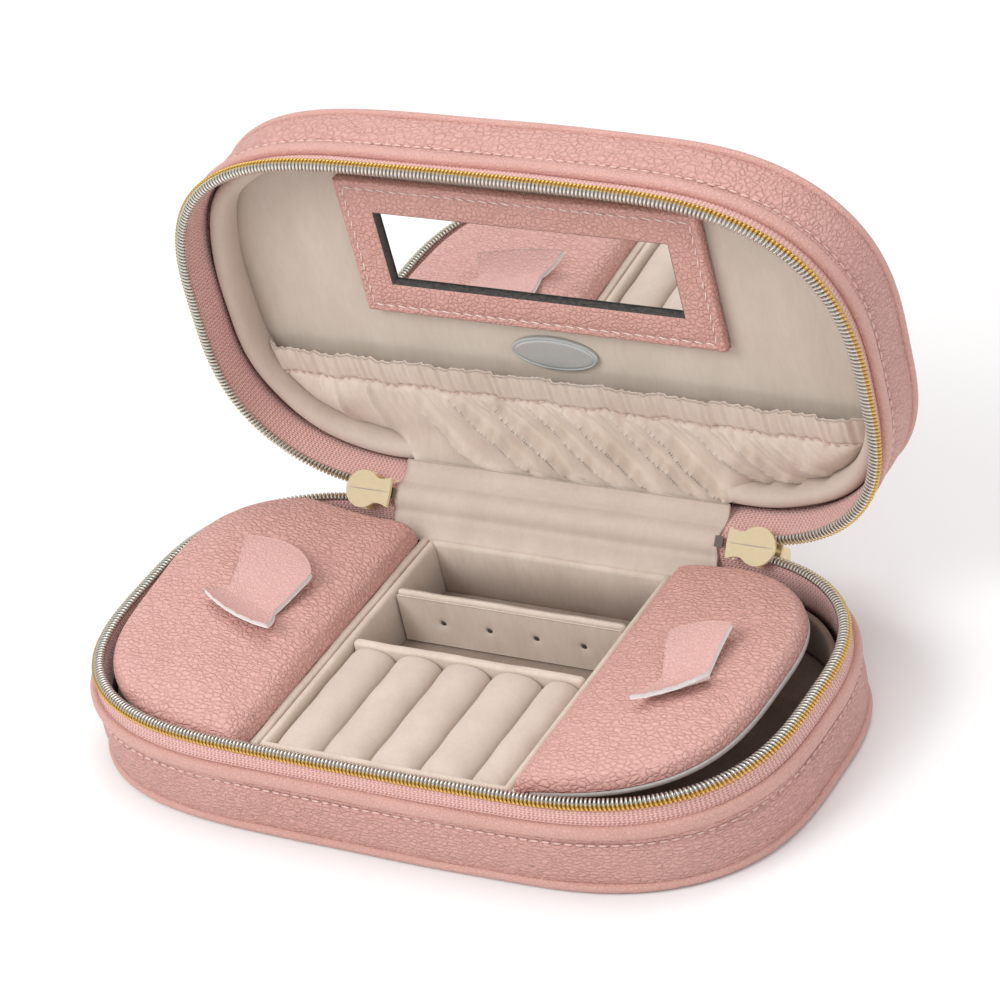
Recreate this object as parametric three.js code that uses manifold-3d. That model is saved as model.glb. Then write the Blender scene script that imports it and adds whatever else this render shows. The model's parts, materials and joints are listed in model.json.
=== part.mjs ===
// Travel jewelry case: two zip-round halves, a compartment tray with two flip-up covers, a lid with a mirror.
// Millimetres. +X along the case, +Y towards the hinge, +Z up. Origin: centre of the flat underside.
import * as THREE from 'three';
import { mergeVertices } from 'three/addons/utils/BufferGeometryUtils.js';
import Module from 'manifold-3d';

const wasm = await Module();
wasm.setup();

// ---- driving dimensions ----
const LENGTH = 200; // zip outline along X
const DEPTH = 103; // zip outline along Y, without the bow of the front
const FRONT_BOW = 3.2;
const FRONT_CORNER = { rx: 63, ry: 51.4, power: 2.87 };
const BACK_CORNER = { rx: 51, ry: 46, power: 2.42 };
const HALF_HEIGHT = 27; // each half, from its outer panel to the parting plane
const PANEL_THICKNESS = 1.6;
const PANEL_PIPING_HEIGHT = 2.4;
const WALL_TOP = 16.3;
const WALL_THICKNESS = 2.2;
const RIM_TOP = 20.3;
const TAPE_TOP = 25;
const TAPE_HALF_THICKNESS = 0.4;
const COIL_HALF = { width: 1.3, height: 0.7 };
const BASE_WALL_OFFSET = 3.2; // the base spreads slightly beyond the zip outline
const LID_WALL_OFFSET = 1.0;
const GAP = 0.3;

const HINGE_Y = 53.1;
const LID_OPEN_DEG = 87;
const LEFT_COVER_RAISE_DEG = 2.5;
const RIGHT_COVER_RAISE_DEG = 5.5;

const TRAY_HALF_WIDTH = 37.4;
const TRAY_FRONT = -46;
const TRAY_BACK = 46.5;
const TRAY_WALL = 2.4;
const TRAY_TOP = 19.5;
const INNER_FLOOR_TOP = 3.2;
const TRAY_FRONT_WALL = 1.6;
const TRAY_BACK_WALL = 2;
const PARTITION_THICKNESS = 2.4;
const DIVIDER_THICKNESS = 2.8;
const EARRING_BOARD_Y = 23;
const ROLL_BOARD_Y = 0;
const ROLL_WIDTHS = [13.6, 14.0, 14.4, 15.2, 11.2];
const ROLL_LENGTH = 42.4;
const ROLL_BACK = -1.8;
const ROLL_SHOULDER = 14.5;
const POST_HOLE = { spacing: 14.3, radius: 0.7, depth: 2, z: 11 };

const COVER_HINGE_X = 40.6;
const COVER_EDGE_X = 41;
const COVER_INSET = { left: 3.5, right: 6.3 }; // from the zip outline; the right cover is cut smaller
const COVER_BACK_Y = 45;
const COVER_BOTTOM = TRAY_TOP + GAP;
const COVER_BOARD = 1.8;
const PAD_HEIGHT = 6.2;
const PAD_EDGE = 2.6;

const PANEL_FACE = 8; // lid's padded inner panel, measured from its outer panel
const POCKET_FACE = 15.5;
const POCKET_TOP_Y = 26.9;
const MIRROR = { halfWidth: 43.2, front: -28.9, back: -7.5 }; // the opening of its frame
const MIRROR_GAP = 0.3;

const GUSSET_HALF_WIDTH = 46;
const CHAIN_END_X = 73; // the open chain's rigid stretch starts here
const STOP_X = 47;
const STOP_LENGTH = 3;
const SLIDER_X = 57; // a slider pushed home against its stop
const SLIDER_REST = { left: 0, right: 3 }; // how far each slider stands off its stop
const CORNER_STEPS = 8;

const rad = THREE.MathUtils.degToRad;

// ---- materials ----
function material(color, roughness, metalness = 0) {
  return new THREE.MeshStandardMaterial({ color, roughness, metalness });
}

const LEATHER = 0xe0a298;
const PIPING = 0xe8aea4;
const VELVET = 0xdcc8b8;
const TAPE = 0xe3a39c;
const BOARD = 0xc9c7c2;
const TEETH = 0xb9b5ac;
const GOLD = 0xd8b56a;

// ---- outline ----
// Points run clockwise seen from above, from the right end of the straight back to its left end.
function cornerPoint(corner, turn) {
  const x = LENGTH / 2 - corner.rx + corner.rx * Math.cos(turn) ** (2 / corner.power);
  const y = DEPTH / 2 - corner.ry + corner.ry * Math.sin(turn) ** (2 / corner.power);
  return [x, y];
}

function bowed(x, y) {
  return y - FRONT_BOW * (1 - (x / (LENGTH / 2)) ** 2) * (-y / (DEPTH / 2));
}

function zipOutline() {
  const back = [];
  const front = [];
  for (let i = 0; i <= CORNER_STEPS; i++) {
    const turn = (i / CORNER_STEPS) * (Math.PI / 2);
    back.push(cornerPoint(BACK_CORNER, Math.PI / 2 - turn));
    const [x, y] = cornerPoint(FRONT_CORNER, turn);
    front.push([x, bowed(x, -y)]);
  }
  const right = [...back, ...front];
  const straight = LENGTH / 2 - FRONT_CORNER.rx;
  const middle = [0.5, 0, -0.5].map((s) => [s * straight, bowed(s * straight, -DEPTH / 2)]);
  const left = [...right].reverse().map(([x, y]) => [-x, y]);
  return [...right, ...middle, ...left].map(([x, y]) => new THREE.Vector2(x, y));
}

const OUTLINE = zipOutline();

function offsetOutline(distance) {
  const count = OUTLINE.length;
  return OUTLINE.map((point, i) => {
    const along = OUTLINE[(i + 1) % count].clone().sub(OUTLINE[(i + count - 1) % count]).normalize();
    return new THREE.Vector2(point.x - along.y * distance, point.y + along.x * distance);
  });
}

function backEdgeY(x) {
  const reach = (x - (LENGTH / 2 - BACK_CORNER.rx)) / BACK_CORNER.rx;
  const height = (1 - reach ** BACK_CORNER.power) ** (1 / BACK_CORNER.power);
  return DEPTH / 2 - BACK_CORNER.ry + BACK_CORNER.ry * height;
}

// The outline without its back stretch, for the part of the zip chain that leaves the sliders.
function openOutline(distance) {
  const kept = offsetOutline(distance).filter((p) => p.y < 0 || Math.abs(p.x) > CHAIN_END_X + 2);
  const y = backEdgeY(CHAIN_END_X) + distance;
  return [new THREE.Vector2(CHAIN_END_X, y), ...kept, new THREE.Vector2(-CHAIN_END_X, y)];
}

// The part of a closed outline on one side of a line across an axis.
function clipped(points, axis, side, limit) {
  const inside = (p) => side * (p[axis] - limit) >= 0;
  return points.flatMap((point, i) => {
    const previous = points[(i + points.length - 1) % points.length];
    const kept = inside(point) ? [point] : [];
    if (inside(point) === inside(previous)) return kept;
    const share = (limit - previous[axis]) / (point[axis] - previous[axis]);
    return [previous.clone().lerp(point, share), ...kept];
  });
}

// ---- geometry helpers ----
function slab(points, bottom, top, bevel = 0) {
  const geometry = new THREE.ExtrudeGeometry(new THREE.Shape(points), {
    depth: top - bottom - 2 * bevel,
    bevelEnabled: bevel > 0,
    bevelThickness: bevel,
    bevelSize: bevel,
    bevelOffset: -bevel,
    bevelSegments: 1,
  });
  return geometry.translate(0, 0, bottom + bevel);
}

function frame(outer, inner, bottom, top, bevel = 0) {
  return cut(slab(outer, bottom, top, bevel), slab(inner, bottom - 1, top + 1));
}

function ring(inner, outer, bottom, top, bevel = 0) {
  return frame(offsetOutline(outer), offsetOutline(inner), bottom, top, bevel);
}

function openRing(inner, outer, bottom, top) {
  return slab([...openOutline(outer), ...openOutline(inner).reverse()], bottom, top);
}

function rectangle(x0, x1, y0, y1) {
  return [[x0, y0], [x1, y0], [x1, y1], [x0, y1]].map(([x, y]) => new THREE.Vector2(x, y));
}

function box(x0, x1, y0, y1, z0, z1) {
  const geometry = new THREE.BoxGeometry(x1 - x0, y1 - y0, z1 - z0);
  return geometry.translate((x0 + x1) / 2, (y0 + y1) / 2, (z0 + z1) / 2);
}

// A profile in the YZ plane, extruded along X between two planes.
function acrossX(profile, x0, x1) {
  const options = { depth: x1 - x0, bevelEnabled: false };
  const geometry = new THREE.ExtrudeGeometry(new THREE.Shape(profile), options);
  geometry.rotateY(Math.PI / 2).rotateX(Math.PI / 2);
  return geometry.translate(x0, 0, 0);
}

// A profile in the XZ plane, extruded along Y between two planes.
function acrossY(profile, y0, y1) {
  const options = { depth: y1 - y0, bevelEnabled: false };
  const geometry = new THREE.ExtrudeGeometry(new THREE.Shape(profile), options);
  return geometry.rotateX(Math.PI / 2).translate(0, y1, 0);
}

function toSolid(geometry) {
  const bare = geometry.clone();
  bare.deleteAttribute('normal');
  bare.deleteAttribute('uv');
  const merged = mergeVertices(bare);
  const mesh = { numProp: 3, vertProperties: merged.attributes.position.array, triVerts: merged.index.array };
  return new wasm.Manifold(new wasm.Mesh(mesh));
}

function toGeometry(solid) {
  const { vertProperties, triVerts } = solid.getMesh();
  const geometry = new THREE.BufferGeometry();
  geometry.setAttribute('position', new THREE.BufferAttribute(vertProperties, 3));
  geometry.setIndex(new THREE.BufferAttribute(triVerts, 1));
  geometry.computeVertexNormals();
  return geometry;
}

function joined(...geometries) {
  return toGeometry(geometries.map(toSolid).reduce((whole, piece) => whole.add(piece)));
}

function cut(geometry, ...tools) {
  return toGeometry(tools.map(toSolid).reduce((rest, tool) => rest.subtract(tool), toSolid(geometry)));
}

function mesh(name, geometry, look) {
  const part = new THREE.Mesh(geometry, look);
  part.name = name;
  return part;
}

// ---- one half of the shell, from its outer panel at 0 to the parting plane ----
function shellHalf(name, wall) {
  const half = new THREE.Group();
  const add = (part, geometry, look) => half.add(mesh(`${name}_${part}`, geometry, look));
  const leather = material(LEATHER, 0.6);
  const piping = material(PIPING, 0.5);
  const velvet = material(VELVET, 0.95);
  const tape = TAPE_HALF_THICKNESS;
  const coilZ = TAPE_TOP + GAP;
  const coilTop = coilZ + 2 * COIL_HALF.height;
  add('outer_panel', slab(offsetOutline(wall - 3.3), 0, PANEL_THICKNESS), leather);
  add('side_wall', ring(wall - WALL_THICKNESS, wall, PANEL_PIPING_HEIGHT + GAP, WALL_TOP), leather);
  add('panel_piping', ring(wall - 3, wall + 0.3, 0, PANEL_PIPING_HEIGHT, 0.7), piping);
  add('rim_piping', ring(wall - 2.6, wall + 0.6, WALL_TOP + GAP, RIM_TOP, 0.9), piping);
  add('zip_tape', openRing(-tape, tape, RIM_TOP + GAP, TAPE_TOP), material(TAPE, 0.85));
  add('zip_coil', openRing(-COIL_HALF.width, COIL_HALF.width, coilZ, coilTop), material(TEETH, 0.35, 0.8));
  add('lining', ring(-4.6, -3, INNER_FLOOR_TOP + GAP, WALL_TOP + 0.2), velvet);
  add('hinge_strip', hingeStrip(wall), leather);
  add('gusset', gusset(), velvet);
  return half;
}

// Short leather leaf behind the tape, on the line of the side wall.
function hingeStrip(wall) {
  const outer = DEPTH / 2 + wall - 0.6;
  const reach = GUSSET_HALF_WIDTH;
  return box(-reach, reach, outer - 0.8, outer, RIM_TOP + GAP, RIM_TOP + WALL_THICKNESS);
}

// Velvet strip that slopes from the lining towards the hinge line.
function gusset() {
  const profile = [[47.2, 19.9], [48.0, 19.5], [52.2, 24.2], [51.5, 24.7]];
  return acrossX(profile.map(([y, z]) => new THREE.Vector2(y, z)), -GUSSET_HALF_WIDTH, GUSSET_HALF_WIDTH);
}

// ---- tray ----
function addTray(base) {
  const inner = TRAY_HALF_WIDTH - TRAY_WALL;
  const outside = rectangle(-TRAY_HALF_WIDTH, TRAY_HALF_WIDTH, TRAY_FRONT, TRAY_BACK);
  const inside = rectangle(-inner, inner, TRAY_FRONT + TRAY_FRONT_WALL, TRAY_BACK - TRAY_BACK_WALL);
  const tray = frame(outside, inside, INNER_FLOOR_TOP + GAP, TRAY_TOP);
  base.add(mesh('inner_floor', slab(offsetOutline(-3), 1.9, INNER_FLOOR_TOP), material(VELVET, 0.95)));
  base.add(mesh('tray_frame', tray, material(VELVET, 0.95)));
  for (const [side, sign] of [['left', -1], ['right', 1]]) {
    const near = sign * (TRAY_HALF_WIDTH + GAP);
    const far = near + sign * PARTITION_THICKNESS;
    const [x0, x1] = [near, far].sort((a, b) => a - b);
    const board = box(x0, x1, TRAY_FRONT, TRAY_BACK, INNER_FLOOR_TOP + GAP, TRAY_TOP);
    base.add(mesh(`${side}_partition`, board, material(VELVET, 0.95)));
  }
  base.add(mesh('earring_board', earringBoard(), material(VELVET, 0.95)));
  base.add(mesh('roll_board', divider(ROLL_BOARD_Y), material(VELVET, 0.95)));
  let left = -ROLL_WIDTHS.reduce((sum, width) => sum + width + GAP, -GAP) / 2;
  ROLL_WIDTHS.forEach((width, i) => {
    base.add(mesh(`ring_roll_${i + 1}`, ringRoll(left, width), material(VELVET, 0.95)));
    left += width + GAP;
  });
}

function divider(y) {
  const reach = TRAY_HALF_WIDTH - TRAY_WALL - GAP;
  const half = DIVIDER_THICKNESS / 2;
  return box(-reach, reach, y - half, y + half, INNER_FLOOR_TOP + GAP, TRAY_TOP - 0.2);
}

// Divider with four small blind holes for earring posts in its front face.
function earringBoard() {
  const face = EARRING_BOARD_Y - DIVIDER_THICKNESS / 2;
  const holes = [-1.5, -0.5, 0.5, 1.5].map((place) => {
    const hole = new THREE.CylinderGeometry(POST_HOLE.radius, POST_HOLE.radius, 2 * POST_HOLE.depth, 8);
    return hole.translate(place * POST_HOLE.spacing, face, POST_HOLE.z);
  });
  return cut(divider(EARRING_BOARD_Y), ...holes);
}

// Padded roll with a rounded top, running front to back.
function ringRoll(left, width) {
  const profile = new THREE.Shape();
  profile.moveTo(left, INNER_FLOOR_TOP + GAP);
  profile.lineTo(left + width, INNER_FLOOR_TOP + GAP);
  profile.lineTo(left + width, ROLL_SHOULDER);
  profile.absellipse(left + width / 2, ROLL_SHOULDER, width / 2, TRAY_TOP - ROLL_SHOULDER, 0, Math.PI);
  const options = { depth: ROLL_LENGTH, bevelEnabled: false, curveSegments: 5 };
  return new THREE.ExtrudeGeometry(profile, options).rotateX(Math.PI / 2).translate(0, ROLL_BACK, 0);
}

// ---- covers over the end compartments, hinged along the tray's partitions ----
function coverOutline(side, sign) {
  const half = clipped(offsetOutline(-COVER_INSET[side]), 'x', sign, sign * COVER_EDGE_X);
  return clipped(half, 'y', -1, COVER_BACK_Y);
}

function addCover(parent, side, sign, raise) {
  const cover = new THREE.Group();
  cover.position.set(sign * COVER_HINGE_X, 0, TRAY_TOP + GAP / 2);
  cover.rotation.y = -sign * rad(raise);
  const local = new THREE.Group();
  local.position.copy(cover.position).negate();
  cover.add(local);
  const outline = coverOutline(side, sign);
  const board = slab(outline, COVER_BOTTOM, COVER_BOTTOM + COVER_BOARD);
  const padBottom = COVER_BOTTOM + COVER_BOARD + GAP;
  const padTop = padBottom + PAD_HEIGHT;
  local.add(
    mesh(`${side}_cover_board`, board, material(BOARD, 0.9)),
    mesh(`${side}_cover_pad`, slab(outline, padBottom, padTop, PAD_EDGE), material(LEATHER, 0.6)),
    mesh(`${side}_pull_tab`, pullTab(sign, padTop + GAP), material(LEATHER, 0.6)),
  );
  parent.add(cover);
}

// Leather strip folded into a low V, wider at its ends than at its waist, turned a little on the pad.
function pullTab(sign, bottom) {
  const waist = 8;
  const flare = 11;
  const rear = 17;
  const front = -8;
  const thickness = 1.4;
  const rise = 2.6;
  const plan = [[-waist, 0], [-flare, rear], [flare, rear], [waist, 0], [flare, front], [-flare, front]];
  const strip = slab(plan.map(([x, y]) => new THREE.Vector2(x, y)), 0, rise + thickness);
  const under = [[front, rise], [0, 0], [rear, rise]];
  const fold = [...under, ...under.map(([y, z]) => [y, z + thickness]).reverse()];
  const sheet = acrossX(fold.map(([y, z]) => new THREE.Vector2(y, z)), -flare, flare);
  const tab = toGeometry(toSolid(strip).intersect(toSolid(sheet)));
  const place = { x: sign * 65, y: -1, turn: sign * 22 };
  return tab.rotateZ(rad(place.turn)).translate(place.x, place.y, bottom);
}

// ---- lid fittings, placed in the lid's own half frame ----
function addLidFittings(half) {
  const face = PANEL_FACE + GAP;
  const { halfWidth, front, back } = MIRROR;
  const opening = rectangle(-halfWidth, halfWidth, front, back);
  const surround = rectangle(-halfWidth - 10.8, halfWidth + 10.8, front - 10.4, back + 10.3);
  const reach = halfWidth - MIRROR_GAP;
  const glass = rectangle(-reach, reach, front + MIRROR_GAP, back - MIRROR_GAP);
  const plaque = new THREE.Shape().absellipse(0, 12, 13, 5.2, 0, Math.PI * 2);
  const header = pocketOutline(-6.4, POCKET_TOP_Y - 8.5, POCKET_TOP_Y - GAP);
  const elastic = pocketOutline(-9, 22, 26.2);
  const panel = slab(offsetOutline(-5), PANEL_THICKNESS + GAP, PANEL_FACE);
  half.add(
    mesh('lid_inner_panel', panel, material(VELVET, 0.95)),
    mesh('mirror_frame', frame(surround, opening, face, face + 2.7), material(LEATHER, 0.6)),
    mesh('mirror', slab(glass, face, face + 1), material(0xe8edf0, 0.05, 1)),
    mesh('plaque', slab(plaque.getPoints(8).slice(1), face, face + 1), material(0xb8bcc0, 0.35, 0.9)),
    mesh('lid_pocket', pocketShell(), material(VELVET, 0.95)),
    mesh('pocket_header', slab(header, POCKET_FACE - 1, POCKET_FACE), material(VELVET, 0.95)),
    mesh('pocket_elastic', slab(elastic, POCKET_FACE - 2.2, POCKET_FACE - 1 - GAP), material(0xf0ece6, 0.9)),
  );
}

// The stretch of the inset outline between two distances from the centre line.
function pocketOutline(inset, front, back) {
  return clipped(clipped(offsetOutline(inset), 'y', 1, front), 'y', -1, back);
}

// Open-topped pocket: a thin sheet in front of the panel, closed along its sides and bottom.
function pocketShell() {
  const sheet = 1.1;
  const outer = slab(pocketOutline(-5.2, POCKET_TOP_Y, DEPTH), PANEL_FACE + GAP, POCKET_FACE);
  const hollow = slab(pocketOutline(-7.2, 20, 44), PANEL_FACE - 1, POCKET_FACE - sheet);
  return cut(outer, hollow);
}

// ---- zip ends, sliders and pullers, placed with the case closed ----
function addZipEnd(parent, side, sign) {
  const chainY = DEPTH / 2;
  const z = HALF_HEIGHT;
  const stopEnd = STOP_X + STOP_LENGTH;
  const tape = TAPE_HALF_THICKNESS;
  const stubTape = box(STOP_X - 0.6, stopEnd, chainY - tape, chainY + tape, z - 5, z + 5);
  const stop = box(STOP_X, stopEnd, chainY - 1.7, chainY + 1.7, z - 1.8, z + 1.8);
  const x = SLIDER_X + SLIDER_REST[side];
  const end = new THREE.Group();
  end.add(
    mesh(`${side}_zip_end`, joined(stubTape, stop), material(TAPE, 0.85)),
    mesh(`${side}_slider`, slider(x, chainY, z), material(GOLD, 0.25, 1)),
    mesh(`${side}_puller`, puller(x, chainY, z), material(GOLD, 0.25, 1)),
  );
  if (sign < 0) end.children.forEach((child) => child.geometry.copy(mirroredX(child.geometry)));
  parent.add(end);
}

function mirroredX(geometry) {
  return toGeometry(toSolid(geometry).mirror([1, 0, 0]));
}

// Shield-shaped plate in the XZ plane: a wide round nose, a waist and a narrow tail.
function sliderPlate(x, y0, y1, z) {
  const tail = { x: x - 6.6, half: 3.4 };
  const waist = { x: x - 2.4, half: 3.1 };
  const nose = { x: x + 2, radius: 4.8, turn: 2.5 };
  const plate = new THREE.Shape();
  plate.moveTo(tail.x, z - tail.half);
  plate.lineTo(waist.x, z - waist.half);
  plate.absarc(nose.x, z, nose.radius, -nose.turn, nose.turn);
  plate.lineTo(waist.x, z + waist.half);
  plate.lineTo(tail.x, z + tail.half);
  return acrossY(plate.getPoints(10), y0, y1);
}

// Two plates held apart by a post, with a bridge on the outer one for the puller's eye.
function slider(x, y, z) {
  const plateIn = 1.7;
  const plateOut = 2.6;
  const post = box(x + 2.6, x + 5.4, y - 2, y + 2, z - 1, z + 1);
  const bridge = box(x - 2.4, x + 2.4, y + 2, y + 5.2, z - 1.1, z + 1.1);
  const eye = box(x - 1, x + 1, y + plateOut + 0.1, y + 4.4, z - 2, z + 2);
  const inner = sliderPlate(x, y - plateOut, y - plateIn, z);
  const outer = sliderPlate(x, y + plateIn, y + plateOut, z);
  return cut(joined(inner, post, outer, bridge), eye);
}

// Flat pull that loops through the slider's bridge and points straight out from the chain.
function puller(x, y, z) {
  const pinY = y + 3.55;
  const halfThickness = 0.5;
  const halfWidth = 2.4;
  const bladeStart = pinY + 4.2;
  const bladeEnd = pinY + 17.5;
  const flat = (y0, y1, z0, z1) => box(x - halfThickness, x + halfThickness, y0, y1, z0, z1);
  const pin = flat(pinY - halfThickness, pinY + halfThickness, z - halfWidth, z + halfWidth);
  const lowArm = flat(pinY - halfThickness, bladeStart + 0.2, z - halfWidth, z - 1.5);
  const highArm = flat(pinY - halfThickness, bladeStart + 0.2, z + 1.5, z + halfWidth);
  return joined(pin, lowArm, highArm, flat(bladeStart, bladeEnd, z - halfWidth, z + halfWidth));
}

// ---- assembly ----
const jewelryCase = new THREE.Group();

const base = shellHalf('base', BASE_WALL_OFFSET);
addTray(base);
addCover(base, 'left', -1, LEFT_COVER_RAISE_DEG);
addCover(base, 'right', 1, RIGHT_COVER_RAISE_DEG);
jewelryCase.add(base);

// A group that turns about the hinge line; what it holds is placed as if the case were closed.
function hingedGroup(openDeg) {
  const swing = new THREE.Group();
  swing.position.set(0, HINGE_Y, HALF_HEIGHT);
  swing.rotation.x = -rad(openDeg);
  const closed = new THREE.Group();
  closed.position.set(0, -HINGE_Y, -HALF_HEIGHT);
  swing.add(closed);
  jewelryCase.add(swing);
  return closed;
}

const lid = shellHalf('lid', LID_WALL_OFFSET);
addLidFittings(lid);
lid.rotation.y = Math.PI;
lid.position.z = 2 * HALF_HEIGHT;
hingedGroup(LID_OPEN_DEG).add(lid);

const zipEnds = hingedGroup(LID_OPEN_DEG / 2);
addZipEnd(zipEnds, 'left', -1);
addZipEnd(zipEnds, 'right', 1);

export default jewelryCase;
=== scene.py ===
"""Travel jewelry case: the looks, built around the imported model. Shapes are worked out in millimetres."""
import json
import math

import bmesh
import bpy
import numpy as np
from mathutils import Matrix, Vector


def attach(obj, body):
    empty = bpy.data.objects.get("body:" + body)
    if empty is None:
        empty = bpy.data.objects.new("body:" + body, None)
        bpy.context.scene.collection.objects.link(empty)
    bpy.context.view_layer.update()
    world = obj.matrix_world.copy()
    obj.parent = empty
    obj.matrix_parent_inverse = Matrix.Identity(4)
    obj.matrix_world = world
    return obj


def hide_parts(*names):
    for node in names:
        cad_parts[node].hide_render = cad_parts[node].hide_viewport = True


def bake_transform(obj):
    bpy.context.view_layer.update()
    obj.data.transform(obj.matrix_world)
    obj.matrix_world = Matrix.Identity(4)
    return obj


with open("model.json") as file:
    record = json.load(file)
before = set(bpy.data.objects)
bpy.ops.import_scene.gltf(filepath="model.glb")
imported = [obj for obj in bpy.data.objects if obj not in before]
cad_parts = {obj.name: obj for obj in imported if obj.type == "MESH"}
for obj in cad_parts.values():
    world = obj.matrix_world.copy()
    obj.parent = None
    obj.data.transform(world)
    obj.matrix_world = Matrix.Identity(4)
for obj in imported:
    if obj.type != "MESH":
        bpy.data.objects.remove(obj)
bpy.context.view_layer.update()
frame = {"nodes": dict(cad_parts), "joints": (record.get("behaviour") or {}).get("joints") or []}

MM = 0.001
TAU = 2 * math.pi
JOINTS = {joint["name"]: joint for joint in frame["joints"]}

# ---- places taken from the frame, in millimetres ----


def node_points(node):
    return np.array([v.co for v in frame["nodes"][node].data.vertices], float) / MM


def limits_of(points):
    return points.min(0), points.max(0)


def opened(points, angle):
    """Points of the closed case, turned about the lid's hinge line by one opening angle or one per point."""
    y, z = points[:, 1] - HINGE[1], points[:, 2] - HINGE[2]
    c, s = np.cos(angle), np.sin(angle)
    return np.column_stack([points[:, 0], y * c + z * s + HINGE[1], -y * s + z * c + HINGE[2]])


def cover_turned(points, side, angle):
    """Points of a shut cover, lifted about its fold by an angle."""
    x0, z0 = COVER_FOLD[side]
    turn = -side * angle
    x, z = points[:, 0] - x0, points[:, 2] - z0
    c, s = math.cos(turn), math.sin(turn)
    return np.column_stack([x * c + z * s + x0, points[:, 1], -x * s + z * c + z0])


def lid_depth_box(node):
    """The low and high corner of a lid node with the case closed, z measured from the lid's outer panel."""
    closed = opened(node_points(node), -LID_OPEN)
    closed[:, 2] = 2 * HINGE[2] - closed[:, 2]
    return limits_of(closed)


HINGE = np.array(JOINTS["lid_hinge"]["pos_m"]) / MM
LID_OPEN = math.radians(-JOINTS["lid_hinge"]["range_deg"][0])
COVER_SIDES = {"left": -1, "right": 1}
COVER_FOLD = {}
COVER_RAISE = {}
for _name, _side in COVER_SIDES.items():
    _joint = JOINTS[f"{_name}_cover_hinge"]
    COVER_FOLD[_side] = (_joint["pos_m"][0] / MM, _joint["pos_m"][2] / MM)
    COVER_RAISE[_side] = math.radians(-_joint["range_deg"][0])

HALF_HEIGHT = HINGE[2]
HINGE_BEHIND = 1.6  # how far the hinge line lies behind the zip outline
TAPE_LOW, TAPE_HIGH = limits_of(node_points("base_zip_tape"))
TAPE_THICKNESS = 0.8
LENGTH = TAPE_HIGH[0] - TAPE_LOW[0] - TAPE_THICKNESS
DEPTH = 2 * (HINGE[1] - HINGE_BEHIND)
FRONT_BOW = -TAPE_LOW[1] - TAPE_THICKNESS / 2 - DEPTH / 2
FRONT_CORNER = (63.0, 51.4, 2.87)  # radius along X, radius along Y, power of the superellipse
BACK_CORNER = (51.0, 46.0, 2.42)
WALL = {"base": node_points("base_side_wall")[:, 0].max() - LENGTH / 2,
        "lid": node_points("lid_side_wall")[:, 0].max() - LENGTH / 2}
CHAIN_END = 60.0  # half the length of the back stretch that has no coil
TAPE_END = 45.5  # the tape itself runs on to the gusset
COIL_PITCH = 1.12

TRAY_LOW, TRAY_HIGH = limits_of(node_points("tray_frame"))
FLOOR_TOP = node_points("inner_floor")[:, 2].max()
PANEL_FACE = lid_depth_box("lid_inner_panel")[1][2]

# ---- outlines ----


def waves(*terms):
    """A smooth wavy value from (amplitude, angle array) pairs."""
    return sum(amplitude * np.sin(angle) for amplitude, angle in terms)


def outline_points(steps=120):
    """The zip outline as a dense closed line from the middle of the back, clockwise seen from above."""
    turn = np.linspace(0, math.pi / 2, steps)

    def corner(rx, ry, power):
        x = LENGTH / 2 - rx + rx * np.cos(turn) ** (2 / power)
        y = DEPTH / 2 - ry + ry * np.sin(turn) ** (2 / power)
        return np.column_stack([x, y])

    back = corner(*BACK_CORNER)[::-1]
    front = corner(*FRONT_CORNER) * [1, -1]
    straight = np.column_stack([np.linspace(front[-1, 0], 0, 30)[1:], np.full(29, -DEPTH / 2)])
    right = np.vstack([[0, DEPTH / 2], back, front, straight])
    below = right[:, 1] < 0
    bow = FRONT_BOW * (1 - (right[:, 0] / (LENGTH / 2)) ** 2) * (-right[:, 1] / (DEPTH / 2))
    right[below, 1] -= bow[below]
    left = right[1:-1][::-1] * [-1, 1]
    return np.vstack([right, left])


def lengths_along(points, closed=True):
    ends = np.vstack([points, points[:1]]) if closed else points
    return np.concatenate([[0], np.cumsum(np.linalg.norm(np.diff(ends, axis=0), axis=1))])


def resampled(points, at):
    """Points of a closed line at the given lengths along it."""
    along = lengths_along(points)
    ends = np.vstack([points, points[:1]])
    at = np.mod(at, along[-1])
    return np.column_stack([np.interp(at, along, ends[:, k]) for k in range(2)])


class Path:
    """Stations along a line in the plan: places, outward directions and lengths along."""

    def __init__(self, place, out, at, closed):
        self.place = place
        self.out = out
        self.at = at
        self.closed = closed


def unit(vectors):
    return vectors / np.linalg.norm(vectors, axis=1)[:, None]


def path_along(points, at, closed):
    """Stations at the given lengths along a closed line, with normals for their outward directions."""
    step = 0.4
    ahead = unit(resampled(points, at + step) - resampled(points, at - step))
    return Path(resampled(points, at), np.column_stack([-ahead[:, 1], ahead[:, 0]]), at, closed)


OUTLINE = outline_points()
PERIMETER = lengths_along(OUTLINE)[-1]
BACK_RIGHT = OUTLINE[:len(OUTLINE) // 4]


def ring_path(spacing, points=OUTLINE):
    total = lengths_along(points)[-1]
    return path_along(points, np.arange(0, total - spacing / 2, spacing), True)


def length_to_back(x):
    """How far along the outline its back stretch reaches x."""
    return float(np.interp(x, BACK_RIGHT[:, 0], lengths_along(BACK_RIGHT, False)))


def open_path(spacing, end):
    """The outline without its back stretch from -end to end."""
    start = length_to_back(end)
    count = int((PERIMETER - 2 * start) / spacing)
    return path_along(OUTLINE, np.linspace(start, PERIMETER - start, count), False)


def rounded_rectangle(low, high, radius, steps=6):
    """Closed line, clockwise seen from above, like the zip outline."""
    corners = [(high[0], high[1], 90), (high[0], low[1], 0), (low[0], low[1], -90), (low[0], high[1], 180)]
    points = []
    for x, y, start in corners:
        cx = x - radius if x == high[0] else x + radius
        cy = y - radius if y == high[1] else y + radius
        for k in range(steps + 1):
            turn = math.radians(start - 90 * k / steps)
            points.append((cx + radius * math.cos(turn), cy + radius * math.sin(turn)))
    return np.array(points)


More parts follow.
